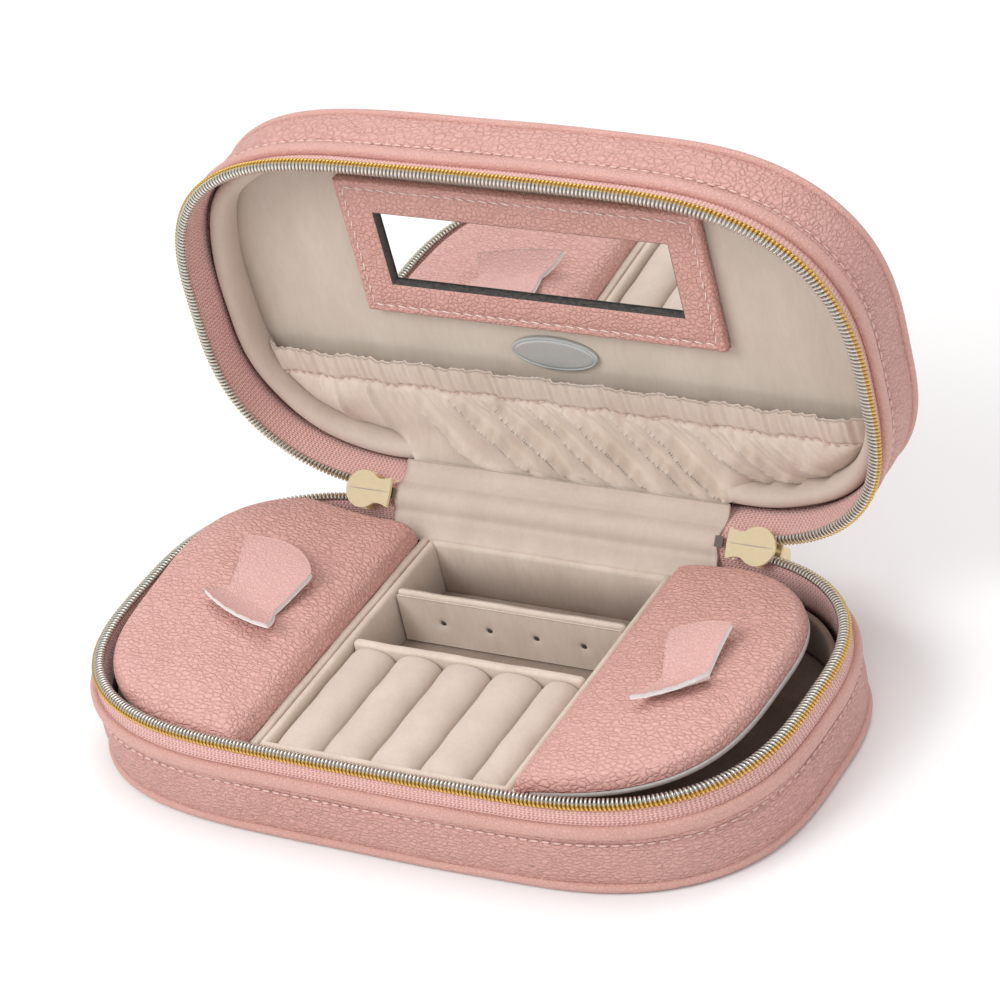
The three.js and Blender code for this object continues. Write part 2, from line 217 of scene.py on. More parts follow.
def clipped(points, axis, side, limit):
    """The part of a closed line on one side of a line across an axis."""
    kept = []
    for previous, point in zip(np.roll(points, 1, 0), points):
        inside, was_inside = (side * (p[axis] - limit) >= 0 for p in (point, previous))
        if inside != was_inside:
            share = (limit - previous[axis]) / (point[axis] - previous[axis])
            kept.append(previous + (point - previous) * share)
        if inside:
            kept.append(point)
    return np.array(kept)


def inset_outline(distance):
    path = ring_path(2.0)
    return path.place + path.out * distance


# ---- meshes ----


def in_base(points):
    return points


def grid_faces(rows, columns, wrap_rows, wrap_columns):
    r = np.arange(rows if wrap_rows else rows - 1)
    c = np.arange(columns if wrap_columns else columns - 1)
    r, c = (a.ravel() for a in np.meshgrid(r, c, indexing="ij"))
    r2, c2 = (r + 1) % rows, (c + 1) % columns
    return np.column_stack([r * columns + c, r * columns + c2, r2 * columns + c2, r2 * columns + c])


def build(name, vertices, faces, materials, uv=None, indices=None, sharp=False):
    """A mesh from millimetre vertices, all its faces flipped if its volume would come out negative."""
    faces = [list(map(int, f)) for f in faces]
    corner = vertices - vertices.mean(0)
    triangles = np.array([(f[0], f[k], f[k + 1]) for f in faces for k in range(1, len(f) - 1)])
    a, b, c = (corner[triangles[:, k]] for k in range(3))
    flip = np.einsum("ij,ij->i", a, np.cross(b, c)).sum() < 0
    if flip:
        faces = [f[::-1] for f in faces]
        uv = None if uv is None else [u[::-1] for u in uv]
    data = bpy.data.meshes.new(name)
    data.from_pydata((vertices * MM).tolist(), [], faces)
    for material in materials if isinstance(materials, (list, tuple)) else [materials]:
        data.materials.append(material)
    if indices is not None:
        data.polygons.foreach_set("material_index", np.asarray(indices, np.int32))
    if uv is not None:
        layer = data.uv_layers.new(name="UVMap")
        layer.data.foreach_set("uv", np.array([p for face in uv for p in face], np.float32).ravel())
    data.polygons.foreach_set("use_smooth", np.full(len(faces), not sharp))
    data.update()
    piece = bpy.data.objects.new(name, data)
    bpy.context.scene.collection.objects.link(piece)
    return piece


def sweep(name, path, profile, material, place=in_base, segment_materials=None):
    """A closed profile of (offset, height) points carried along a path.

    A profile that varies has the shape (stations, points, 2).
    """
    stations = len(path.at)
    profile = np.asarray(profile, float)
    if profile.ndim == 2:
        profile = np.broadcast_to(profile, (stations, *profile.shape))
    count = profile.shape[1]
    plan = path.place[:, None, :] + path.out[:, None, :] * profile[:, :, :1]
    vertices = np.concatenate([plan, profile[:, :, 1:]], axis=2).reshape(-1, 3)
    faces = grid_faces(stations, count, path.closed, True)
    across = lengths_along(profile[0])
    pitch = path.at[1] - path.at[0]
    along = np.append(path.at, path.at[-1] + pitch)
    row, column = faces[:, 0] // count, faces[:, 0] % count
    u0, u1 = along[row], along[row + 1]
    v0, v1 = across[column], across[column + 1]
    uv = np.stack([np.column_stack(p) for p in ((u0, v0), (u0, v1), (u1, v1), (u1, v0))], axis=1) * MM
    uv = [list(map(tuple, corners)) for corners in uv]
    faces = [tuple(f) for f in faces]
    indices = None
    if segment_materials is not None:
        indices = [segment_materials[c] for c in column]
    if not path.closed:
        faces += [tuple(range(count)), tuple(range((stations - 1) * count, stations * count))]
        flat = [(0.0, 0.0)] * count
        uv += [flat, flat]
        if indices is not None:
            indices += [0, 0]
    return build(name, place(vertices), faces, material, uv, indices)


def ellipse_profile(offset, height, a, b, points=16, power=2.0):
    turn = np.arange(points) / points * TAU
    c, s = np.cos(turn), np.sin(turn)
    x = np.sign(c) * np.abs(c) ** (2 / power)
    z = np.sign(s) * np.abs(s) ** (2 / power)
    return np.column_stack([offset + a * x, height + b * z])


def waved(path, profile, terms):
    """A profile repeated along a path, its offsets and heights moved by gentle waves."""
    profile = np.asarray(profile, float)
    repeated = np.repeat(profile[None], len(path.at), 0)
    total = path.at[-1] + (path.at[1] - path.at[0])
    for axis, amplitude, cycles, phase in terms:
        repeated[:, :, axis] += (amplitude * np.sin(TAU * cycles * path.at / total + phase))[:, None]
    return repeated


def distance_to_line(points, line):
    best = np.full(len(points), 1e9)
    for a, b in zip(line, np.roll(line, -1, 0)):
        along = b - a
        share = np.clip(((points - a) @ along) / max(along @ along, 1e-9), 0, 1)
        best = np.minimum(best, np.linalg.norm(points - a - share[:, None] * along, axis=1))
    return best


def level(height):
    """A flat height function for disc."""
    return lambda x, y, edge: np.full(len(x), height)


def disc(name, line, top, bottom, material, rings, place=in_base, crowd=1.7):
    """A filled outline between two height functions of (x, y, distance from the edge)."""
    centre = line.mean(0)
    count = len(line)
    shares = 1 - np.linspace(0, 1, rings + 1)[:-1] ** crowd
    plan = np.vstack([centre + (line - centre) * s for s in shares] + [centre[None]])
    edge = distance_to_line(plan, line)
    edge[:count] = 0
    upper = np.column_stack([plan, top(plan[:, 0], plan[:, 1], edge)])
    lower = np.column_stack([plan, bottom(plan[:, 0], plan[:, 1], edge)])
    total = len(plan)
    quads = grid_faces(rings, count, False, True)
    tip = (rings - 1) * count
    fan = [(tip + k, tip + (k + 1) % count, total - 1) for k in range(count)]
    side = [(k, (k + 1) % count, total + (k + 1) % count, total + k) for k in range(count)]
    up = [tuple(f[::-1]) for f in quads] + [f[::-1] for f in fan]
    down = [tuple(v + total for v in f) for f in quads] + [tuple(v + total for v in f) for f in fan]
    return build(name, place(np.vstack([upper, lower])), up + side + down, material)


def padded_bar(name, low, high, radius):
    """A board wrapped in velvet: rounded edges and slightly uneven faces."""
    mesh = bmesh.new()
    bmesh.ops.create_cube(mesh, size=1.0)
    bmesh.ops.scale(mesh, vec=tuple(high - low), verts=mesh.verts)
    bmesh.ops.translate(mesh, vec=tuple((low + high) / 2), verts=mesh.verts)
    bmesh.ops.bevel(mesh, geom=mesh.edges, offset=radius, segments=4, profile=0.5, affect="EDGES")
    axis = int(np.argmax(high - low))
    normal = Vector([1.0 if k == axis else 0.0 for k in range(3)])
    for cut in np.arange(low[axis] + 3, high[axis] - 2, 4.0):
        point = Vector((low + high) / 2)
        point[axis] = cut
        geom = mesh.verts[:] + mesh.edges[:] + mesh.faces[:]
        bmesh.ops.bisect_plane(mesh, geom=geom, plane_co=point, plane_no=normal)
    points = np.array([v.co for v in mesh.verts])
    sway = waves((0.12, points[:, axis] * 0.21 + low[0]), (0.07, points[:, axis] * 0.53 + low[1]))
    thin = int(np.argmin(high - low))
    points[:, thin] += sway * (points[:, 2] - low[2]) / (high[2] - low[2])
    mesh.faces.ensure_lookup_table()
    faces = [[v.index for v in f.verts] for f in mesh.faces]
    mesh.free()
    return build(name, points, faces, VELVET)


def ellipsoids(name, centres, along, normal, size, material, place=in_base):
    """Many small rounded bodies in one mesh: size is (length, width, height)."""
    rows, columns = 5, 6
    v = (np.arange(1, rows) / rows) * math.pi
    u = np.arange(columns) / columns * TAU
    body = [(-1, 0, 0)]
    body += [(-math.cos(b), math.sin(b) * math.cos(a), math.sin(b) * math.sin(a)) for b in v for a in u]
    body.append((1, 0, 0))
    body = np.array(body) * np.array(size) / 2
    faces = [(0, 1 + k, 1 + (k + 1) % columns) for k in range(columns)]
    quads = grid_faces(rows - 1, columns, False, True) + 1
    faces += [(f[0], f[3], f[2], f[1]) for f in quads]
    last = len(body) - 1
    tip = 1 + (rows - 2) * columns
    faces += [(tip + (k + 1) % columns, tip + k, last) for k in range(columns)]
    side = np.cross(normal, along)
    vertices = (centres[:, None, :] + body[None, :, :1] * along[:, None, :]
                + body[None, :, 1:2] * side[:, None, :] + body[None, :, 2:] * normal[:, None, :])
    all_faces = [tuple(i + k * len(body) for i in f) for k in range(len(centres)) for f in faces]
    return build(name, place(vertices.reshape(-1, 3)), all_faces, material)


def stitches(name, line, normals, pitch, size, material, closed=True, place=in_base, slant=0.16, step=0.4):
    """A row of thread stitches along a 3-D line; normals is one direction or one for each point."""
    along = lengths_along(line, closed)
    count = max(2, int(along[-1] / pitch))
    at = (np.arange(count) + 0.5) * along[-1] / count

    def sample(values, s):
        ends = np.vstack([values, values[:1]]) if closed else values
        return np.column_stack([np.interp(np.clip(s, 0, along[-1]), along, ends[:, k]) for k in range(3)])

    ahead = unit(sample(line, at + step) - sample(line, at - step))
    facing = sample(np.broadcast_to(np.asarray(normals, float), line.shape), at)
    ahead = unit(ahead + np.cross(facing, ahead) * slant)
    return ellipsoids(name, sample(line, at), ahead, facing, size, material, place)


def coil(name, centre, radii, wire, material, place, phase=0.0):
    """A wound wire that follows the zip outline: centre is (offset, height), radii are along those two."""
    per_turn, sides = 11, 5
    start = length_to_back(CHAIN_END)
    turns = int((PERIMETER - 2 * start) / COIL_PITCH)
    theta = np.arange(turns * per_turn + 1) / per_turn * TAU
    at = start + theta / TAU * COIL_PITCH
    path = path_along(OUTLINE, at, False)
    angle = theta + phase
    offset = centre[0] + radii[0] * np.cos(angle)
    height = centre[1] + radii[1] * np.sin(angle)
    spine = np.column_stack([path.place + path.out * offset[:, None], height])
    radial = unit(np.column_stack([path.out * (np.cos(angle) * radii[1])[:, None], np.sin(angle) * radii[0]]))
    tangent = unit(np.gradient(spine, axis=0))
    radial = unit(radial - tangent * np.einsum("ij,ij->i", radial, tangent)[:, None])
    other = np.cross(tangent, radial)
    around = (np.arange(sides) / sides * TAU)[None, :, None]
    ring = radial[:, None, :] * np.cos(around) + other[:, None, :] * np.sin(around)
    vertices = (spine[:, None, :] + ring * wire).reshape(-1, 3)
    faces = [tuple(f) for f in grid_faces(len(spine), sides, False, True)]
    last = (len(spine) - 1) * sides
    faces += [tuple(range(sides)), tuple(range(last, last + sides))[::-1]]
    return build(name, place(vertices), faces, material)


def smooth(t):
    t = np.clip(t, 0, 1)
    return t * t * (3 - 2 * t)


def back_line(x):
    """The outline's Y on its back stretch at a distance from the middle."""
    return np.interp(x, BACK_RIGHT[:, 0], BACK_RIGHT[:, 1])


def apply_modifiers(piece):
    graph = bpy.context.evaluated_depsgraph_get()
    data = bpy.data.meshes.new_from_object(piece.evaluated_get(graph))
    piece.modifiers.clear()
    piece.data = data


def round_edges(piece, width, segments, **limits):
    """Bevels a piece's edges by a width in millimetres; limits are the bevel's own settings."""
    rounding = piece.modifiers.new("edge", "BEVEL")
    rounding.width = width * MM
    rounding.segments = segments
    for key, value in limits.items():
        setattr(rounding, key, value)
    apply_modifiers(piece)


def border(rows, columns):
    """Indices round the edge of a grid."""
    top = list(range(columns))
    right = [r * columns + columns - 1 for r in range(1, rows)]
    bottom = [(rows - 1) * columns + c for c in range(columns - 2, -1, -1)]
    left = [r * columns for r in range(rows - 2, 0, -1)]
    return top + right + bottom + left


def sheet_piece(name, place, front, behind, material, edge_material=None):
    """Two facing grids of points closed into one sheet; its edges and back may take the second material."""
    rows, columns = front.shape[:2]
    total = rows * columns
    faces = [tuple(f) for f in grid_faces(rows, columns, False, False)]
    under = [tuple(v + total for v in f[::-1]) for f in faces]
    rim = border(rows, columns)
    sides = [(a, b, b + total, a + total) for a, b in zip(rim, rim[1:] + rim[:1])]
    indices = None
    if edge_material is not None:
        indices = [0] * len(faces) + [edge_material] * (len(under) + len(sides))
    vertices = np.vstack([front.reshape(-1, 3), behind.reshape(-1, 3)])
    across = lengths_along(front[:, 0], False)
    along = lengths_along(front[0], False)

    def uv_of(v):
        return (float(along[v % total % columns]) * MM, float(across[v % total // columns]) * MM)

    uv = [[uv_of(v) for v in f] for f in faces + under + sides]
    return build(name, place(vertices), faces + under + sides, material, uv, indices)


# ---- materials ----


class Shader:
    """A small helper that adds nodes to one material."""

    def __init__(self, name):
        self.material = bpy.data.materials.new(name)
        self.material.use_nodes = True
        self.tree = self.material.node_tree
        self.bsdf = self.tree.nodes["Principled BSDF"]

    def node(self, kind, **settings):
        node = self.tree.nodes.new(kind)
        for key, value in settings.items():
            if key in node.inputs:
                node.inputs[key].default_value = value
            else:
                setattr(node, key, value)
        return node

    def link(self, a, b):
        self.tree.links.new(a, b)

    def feed(self, socket, value):
        """Sets an input to a number or a colour, or links another node's output to it."""
        if isinstance(value, tuple):
            socket.default_value = (*value, 1)
        elif isinstance(value, (int, float)):
            socket.default_value = value
        else:
            self.link(value, socket)

    def coordinates(self, scale=(1, 1, 1)):
        """Object coordinates in millimetres, so that texture scales are per millimetre."""
        coordinate = self.node("ShaderNodeTexCoord")
        mapping = self.node("ShaderNodeMapping")
        mapping.inputs["Scale"].default_value = [k / MM for k in scale]
        self.link(coordinate.outputs["Object"], mapping.inputs["Vector"])
        return mapping.outputs["Vector"]

    def noise(self, vector, scale, detail=3.0, roughness=0.55):
        node = self.node("ShaderNodeTexNoise", Scale=scale, Detail=detail, Roughness=roughness)
        self.link(vector, node.inputs["Vector"])
        return node.outputs["Fac"]

    def math(self, operation, *values):
        node = self.node("ShaderNodeMath", operation=operation)
        for socket, value in zip(node.inputs, values):
            self.feed(socket, value)
        return node.outputs["Value"]

    def ramp(self, value, *stops):
        node = self.node("ShaderNodeValToRGB")
        while len(node.color_ramp.elements) < len(stops):
            node.color_ramp.elements.new(0.5)
        for element, (position, colour) in zip(node.color_ramp.elements, stops):
            element.position = position
            element.color = (*colour, 1)
        self.link(value, node.inputs["Fac"])
        return node.outputs["Color"]

    def mix(self, share, a, b):
        node = self.node("ShaderNodeMix", data_type="RGBA")
        sockets = {socket.identifier: socket for socket in (*node.inputs, *node.outputs)}
        for name, value in (("A_Color", a), ("B_Color", b), ("Factor_Float", share)):
            self.feed(sockets[name], value)
        return sockets["Result_Color"]

    def bump(self, height, strength, distance, after=None):
        node = self.node("ShaderNodeBump", Strength=strength, Distance=distance)
        self.link(height, node.inputs["Height"])
        if after is not None:
            self.link(after, node.inputs["Normal"])
        return node.outputs["Normal"]

    def finish(self, colour, roughness, normal=None, **values):
        """Connects the surface and returns the material; values are further inputs, _ for a space."""
        inputs = self.bsdf.inputs
        self.feed(inputs["Base Color"], colour)
        self.feed(inputs["Roughness"], roughness)
        if normal is not None:
            self.link(normal, inputs["Normal"])
        for key, value in values.items():
            inputs[key.replace("_", " ")].default_value = value
        return self.material


PINK = (0.67, 0.37, 0.33)
PINK_WALL = (0.60, 0.32, 0.28)
# The darker pink is the leathers' crease colour: painted shade in the creases between pebbles.
PINK_CREASE_SHADE = (0.47, 0.215, 0.18)
PINK_LIGHT = (0.74, 0.45, 0.41)
CREAM = (0.70, 0.60, 0.515)
CREAM_DEEP = (0.56, 0.46, 0.38)


def leather(name, tops, creases, pebble=1.35, depth=0.24, grain_stretch=(1, 1, 1), roughness=0.47):
    """Pebbled leatherette: rounded pebbles between fine creases, pebble is their size in millimetres; the
    creases take the darker colour as painted shade.
    """
    s = Shader(name)
    where = s.coordinates(grain_stretch)
    warp = s.node("ShaderNodeTexNoise", Scale=0.35, Detail=2.0)
    s.link(where, warp.inputs["Vector"])
    bend = s.node("ShaderNodeVectorMath", operation="MULTIPLY_ADD")
    s.link(warp.outputs["Color"], bend.inputs[0])
    bend.inputs[1].default_value = (1.6, 1.6, 1.6)
    s.link(where, bend.inputs[2])
    cells = s.node("ShaderNodeTexVoronoi", feature="DISTANCE_TO_EDGE", Scale=1 / pebble, Randomness=0.9)
    s.link(bend.outputs["Vector"], cells.inputs["Vector"])
    fine = s.node("ShaderNodeTexVoronoi", feature="DISTANCE_TO_EDGE", Scale=1.9 / pebble, Randomness=1.0)
    s.link(bend.outputs["Vector"], fine.inputs["Vector"])
    dome = s.ramp(cells.outputs["Distance"], (0.0, (0, 0, 0)), (0.16, (0.62,) * 3), (0.45, (1, 1, 1)))
    small = s.ramp(fine.outputs["Distance"], (0.0, (0, 0, 0)), (0.3, (1, 1, 1)))
    broad = s.noise(where, 0.045, 3.0)
    patch = s.math("MULTIPLY", s.math("SUBTRACT", broad, 0.5), 0.5)
    height = s.math("ADD", s.math("MULTIPLY", dome, 0.8), s.math("MULTIPLY", small, 0.2))
    # Painted shade: the colour darkens towards the crease colour along the creases between pebbles.
    crease_shade = s.ramp(cells.outputs["Distance"], (0.0, (0.7,) * 3), (0.2, (1, 1, 1)))
    colour = s.mix(crease_shade, creases, tops)
    colour = s.mix(s.math("ADD", patch, 0.2), colour, PINK_LIGHT)
    pores = s.noise(where, 2.6, 3.0)
    normal = s.bump(height, 1.0, depth * MM)
    normal = s.bump(pores, 0.3, 0.09 * MM, normal)
    rough = s.math("SUBTRACT", roughness + 0.13, s.math("MULTIPLY", dome, 0.16))
    return s.finish(colour, rough, normal, Specular_IOR_Level=0.42)


def velvet(name, light, dark, brushed=1.0):
    """Short-pile velvet: soft sheen, fine nap and patches where the pile lies another way."""
    s = Shader(name)
    where = s.coordinates()
    nap = s.noise(where, 2.6, 4.0, 0.7)
    brush = s.noise(s.coordinates((1, 1, 0.45)), 0.09, 4.0, 0.6)
    streaks = s.noise(s.coordinates((1.0, 1.0, 0.25)), 0.9, 2.0)
    tone = s.math("ADD", s.math("MULTIPLY", brush, 0.62 * brushed), s.math("MULTIPLY", streaks, 0.2))
    tone = s.math("ADD", tone, s.math("MULTIPLY", nap, 0.28))
    colour = s.ramp(tone, (0.34, dark), (0.68, light))
    normal = s.bump(nap, 0.5, 0.14 * MM)
    normal = s.bump(brush, 0.2, 0.6 * MM, normal)
    return s.finish(colour, 0.94, normal, Sheen_Weight=0.35, Sheen_Roughness=0.45, Specular_IOR_Level=0.12,
                    Sheen_Tint=(1.0, 0.95, 0.92, 1))


def woven_tape(name, light, dark, rib=1.15):
    """Zip tape: rows of small knitted V stitches that run along the zip, with light catching their tips."""
    s = Shader(name)
    uv = s.node("ShaderNodeTexCoord")
    split = s.node("ShaderNodeSeparateXYZ")
    s.link(uv.outputs["UV"], split.inputs["Vector"])
    grain = s.noise(s.coordinates(), 0.9, 3.0)
    u = s.math("ADD", split.outputs["X"], s.math("MULTIPLY", grain, 0.5 * MM))
    v = split.outputs["Y"]
    turn = TAU / (rib * MM)
    zigzag = s.math("PINGPONG", v, 0.55 * rib * MM)
    slant = s.math("SINE", s.math("MULTIPLY", s.math("ADD", u, s.math("MULTIPLY", zigzag, 1.1)), turn))
    rows = s.math("COSINE", s.math("MULTIPLY", v, turn / 0.55))
    height = s.math("ADD", s.math("MULTIPLY", slant, 0.28), s.math("MULTIPLY", rows, 0.2))
    height = s.math("ADD", height, 0.5)
    fuzz = s.noise(s.coordinates(), 2.2, 3.0)
    tone = s.math("ADD", s.math("MULTIPLY", height, 0.7), s.math("MULTIPLY", fuzz, 0.35))
    # Painted highlight and shade: the colour follows the stitch height, lighter on the tips and darker
    # between the stitches.
    colour = s.ramp(tone, (0.2, dark), (0.55, light), (0.9, (0.85, 0.61, 0.57)))
    normal = s.bump(height, 0.9, 0.35 * MM)
    return s.finish(colour, 0.7, normal, Sheen_Weight=0.25, Specular_IOR_Level=0.35)


def metal(name, colour, roughness, scratches=0.04, tone=0.9, metallic=1.0):
    s = Shader(name)
    where = s.coordinates()
    wear = s.noise(where, 0.9, 5.0)
    hair = s.noise(s.coordinates((1, 12, 1)), 0.7, 2.0)
    rough = s.math("ADD", roughness - scratches, s.math("MULTIPLY", wear, 2 * scratches))
    shade = s.mix(wear, tuple(c * tone for c in colour), colour)
    normal = s.bump(hair, 0.05, 0.02 * MM)
    return s.finish(shade, rough, normal, Metallic=metallic)


def thread(name, colour):
    s = Shader(name)
    twist = s.noise(s.coordinates(), 4.0, 2.0)
    shade = s.mix(twist, tuple(c * 0.82 for c in colour), colour)
    return s.finish(shade, 0.7, s.bump(twist, 0.4, 0.06 * MM), Sheen_Weight=0.2)


def board(name, colour, dark):
    s = Shader(name)
    fibres = s.noise(s.coordinates((1, 1, 4)), 0.9, 4.0)
    shade = s.ramp(fibres, (0.3, dark), (0.7, colour))
    return s.finish(shade, 0.85, s.bump(fibres, 0.3, 0.08 * MM))


def mirror_glass(name):
    s = Shader(name)
    haze = s.noise(s.coordinates(), 0.06, 2.0)
    rough = s.math("MULTIPLY", haze, 0.03)
    return s.finish((0.93, 0.94, 0.94), rough, None, Metallic=1.0)


LEATHER_WALL = leather("wall_leather", PINK_WALL, PINK_CREASE_SHADE, 1.5, 0.5, (0.75, 0.75, 1.4))
LEATHER_COVER = leather("cover_leather", PINK, PINK_CREASE_SHADE, 1.6, 0.46, (0.78, 1.2, 1))
LEATHER_FRAME = leather("frame_leather", (0.66, 0.36, 0.31), (0.45, 0.21, 0.175), 1.5, 0.42)
LEATHER_PANEL = leather("panel_leather", PINK_WALL, PINK_CREASE_SHADE, 1.5, 0.46)
LEATHER_PIPING = leather("piping_leather", (0.60, 0.33, 0.285), (0.49, 0.245, 0.2), 1.1, 0.2, roughness=0.42)
LEATHER_TAB = leather("tab_leather", (0.68, 0.41, 0.38), (0.56, 0.32, 0.28), 1.2, 0.2, roughness=0.5)
RAW_EDGE = board("raw_edge", (0.86, 0.84, 0.82), (0.72, 0.69, 0.67))
GREY_BOARD = board("grey_board", (0.62, 0.61, 0.57), (0.42, 0.41, 0.38))
# Near-black: the dark edge of the mirror recess, and the painted shade at the bottoms of the earring holes.
DARK_EDGE_AND_HOLE_SHADE = board("dark_edge_and_hole_shade", (0.10, 0.09, 0.08), (0.03, 0.03, 0.03))
VELVET = velvet("cream_velvet", CREAM, CREAM_DEEP)
VELVET_PANEL = velvet("panel_velvet", (0.645, 0.57, 0.49), (0.54, 0.465, 0.39), 0.8)
# Painted shade: a darker copy of the cream velvet for the floor and the base's lining, standing in for the
# shade inside the case.
VELVET_PAINTED_SHADE = velvet("bin_velvet_painted_shade", (0.40, 0.31, 0.25), (0.26, 0.195, 0.155), 0.7)
VELVET_ROLL = velvet("roll_velvet", (0.66, 0.56, 0.49), (0.555, 0.46, 0.39), 0.8)
TAPE = woven_tape("zip_tape", (0.80, 0.46, 0.42), (0.52, 0.24, 0.215))
# Pale silver: partly the coil's own metal, partly painted highlight on the coil's top; the slider seams use
# it too.
SILVER = metal("coil_silver", (0.86, 0.84, 0.78), 0.3)
GOLD_EDGE = metal("coil_gold", (0.90, 0.60, 0.18), 0.36, tone=0.75)
GOLD = metal("slider_gold", (0.97, 0.80, 0.52), 0.24, 0.08, metallic=0.72)
STOP_STEEL = metal("stop_steel", (0.30, 0.26, 0.22), 0.4)
STEEL = metal("plaque_steel", (0.56, 0.60, 0.59), 0.42, 0.08, metallic=0.55)
WHITE_THREAD = thread("white_thread", (0.90, 0.78, 0.74))
PINK_THREAD = thread("pink_thread", (0.80, 0.56, 0.51))
CREAM_THREAD = thread("cream_thread", (0.74, 0.52, 0.45))
MIRROR = mirror_glass("mirror_silvering")


def dress(piece, body, slot, *nodes):
    """Puts a finished piece on its body and hides the CAD nodes it stands for."""
    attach(piece, body)
    if nodes:
        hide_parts(*nodes)
    return piece


# ---- placing functions ----


def in_lid(points):
    """From the closed lid, z measured from its outer panel, to where the open lid is."""
    closed = np.column_stack([points[:, 0], points[:, 1], 2 * HALF_HEIGHT - points[:, 2]])
    return opened(closed, LID_OPEN)


def on_cover(side):
    return lambda points: cover_turned(points, side, COVER_RAISE[side])


PLACE = {"base": in_base, "lid": in_lid}

# ---- the two zip-round halves ----


SEAM_HEIGHT = 14.85  # of the stitched seam round each wall
SEAM_SINK = 0.42


def side_wall(half):
    w = WALL[half]
    outer = [(-0.9, 1.7), (-0.35, 2.6), (0.0, 4.2), (0.15, 6.5), (0.2, 9.0), (0.15, 11.5), (0.0, 13.4),
             (-0.2, 14.3), (-0.8, 14.7), (-0.8, 15.0), (-0.3, 15.4), (-0.2, 16.2), (-0.6, 17.2), (-1.9, 17.3)]
    profile = [(w + offset, z) for offset, z in outer] + [(w - 2.0, 9.0), (w - 2.0, 1.7)]
    path = ring_path(1.2)
    waves_on = [(0, 0.16, 7, 0.4), (0, 0.1, 17, 1.9)]
    wall = sweep(f"{half}_wall", path, waved(path, profile, waves_on), LEATHER_WALL, PLACE[half])
    dress(wall, half, "pebbled_leather", f"{half}_side_wall")
    seam = np.column_stack([path.place + path.out * (w - SEAM_SINK), np.full(len(path.at), SEAM_HEIGHT)])
    normals = np.column_stack([path.out, np.zeros(len(path.at))])
    row = stitches(f"{half}_wall_stitching", seam, normals, 3.0, (2.3, 0.52, 0.7), PINK_THREAD, True,
                   PLACE[half], slant=0, step=0.5)
    dress(row, half, "pebbled_leather")


def piping(half):
    w = WALL[half]
    path = ring_path(1.2)
    rim = ellipse_profile(w - 0.6, 18.55, 1.35, 2.0, 18, 2.4)
    rim = waved(path, rim, [(0, 0.12, 9, 0.0), (1, 0.15, 6, 1.0)])
    edge = waved(path, ellipse_profile(w - 0.75, 1.35, 1.25, 1.3, 14, 2.2), [(0, 0.08, 11, 0.3)])
    for part, profile in (("rim", rim), ("panel", edge)):
        roll = sweep(f"{half}_{part}_piping_roll", path, profile, LEATHER_PIPING, PLACE[half])
        dress(roll, half, "piping", f"{half}_{part}_piping")


def outer_panel(half):
    """The leather-covered outer board: flat under the base, slightly crowned on the lid."""
    crown = 0.0 if half == "base" else 1.1
    line = inset_outline(WALL[half] - 1.2)

    def outside(x, y, edge):
        return 0.25 - crown * (1 - np.exp(-edge / 9)) - 0.2 * (1 - np.exp(-edge / 2))

    panel = disc(f"{half}_panel", line, level(1.7), outside, LEATHER_PANEL, 18, PLACE[half])
    dress(panel, half, "pebbled_leather", f"{half}_outer_panel")


def zip_tape(half):
    w = WALL[half]
    lean = (w - 1.4) / 2
    profile = [(0.75, 25.5), (0.5 + 0.3 * lean, 24.4), (0.35 + lean, 22.6), (w - 1.2, 20.6), (w - 1.7, 18.6),
               (-1.2, 15.2), (-1.75, 15.2), (-1.5, 18.0), (-1.1, 21.5), (-0.7, 24.4), (-0.55, 25.5)]
    path = open_path(1.2, TAPE_END)
    tape = sweep(f"{half}_tape", path, waved(path, profile, [(0, 0.1, 8, 0.6)]), TAPE, PLACE[half])
    dress(tape, half, "zip_tape", f"{half}_zip_tape")


def zip_coil(half):
    """The silver coil, pale partly as painted highlight on its top, and the gold row of turns that shows
    along its outer edge.
    """
    silver = coil(f"{half}_coil", (0.05, 26.05), (1.2, 0.58), 0.36, SILVER, PLACE[half])
    dress(silver, half, "zip_teeth", f"{half}_zip_coil")
    gold = coil(f"{half}_coil_edge", (1.28, 25.45), (0.42, 0.62), 0.4, GOLD_EDGE, PLACE[half], 1.0)
    dress(gold, half, "zip_teeth")


def lining(half):
    """A thin cloth inside the base, in velvet painted darker as shade, and a soft padded roll inside the lid.
    """
    path = ring_path(1.6)
    if half == "base":
        profile = ellipse_profile(-3.8, 10.2, 1.15, 6.6, 18, 5.0)
        ripple = [(0, 0.1, 9, 0.2), (1, 0.15, 7, 0.9)]
        cloth = VELVET_PAINTED_SHADE
    else:
        profile = ellipse_profile(-4.6, 11.9, 2.75, 5.1, 22, 2.3)
        ripple = [(0, 0.22, 7, 0.2), (0, 0.14, 19, 1.0), (1, 0.25, 9, 2.0)]
        cloth = VELVET_ROLL
    roll = sweep(f"{half}_lining_roll", path, waved(path, profile, ripple), cloth, PLACE[half])
    dress(roll, half, "velvet", f"{half}_lining")


for _half in ("base", "lid"):
    side_wall(_half)
    piping(_half)
    outer_panel(_half)
    zip_tape(_half)
    zip_coil(_half)
    lining(_half)

# ---- tray ----

POST_HEIGHT = 11.0
POST_PITCH = 14.3
POST_PLACES = [POST_PITCH * k for k in (-1.5, -0.5, 0.5, 1.5)]
TRAY_WALL = 2.4
FLOOR_BOTTOM = 1.9


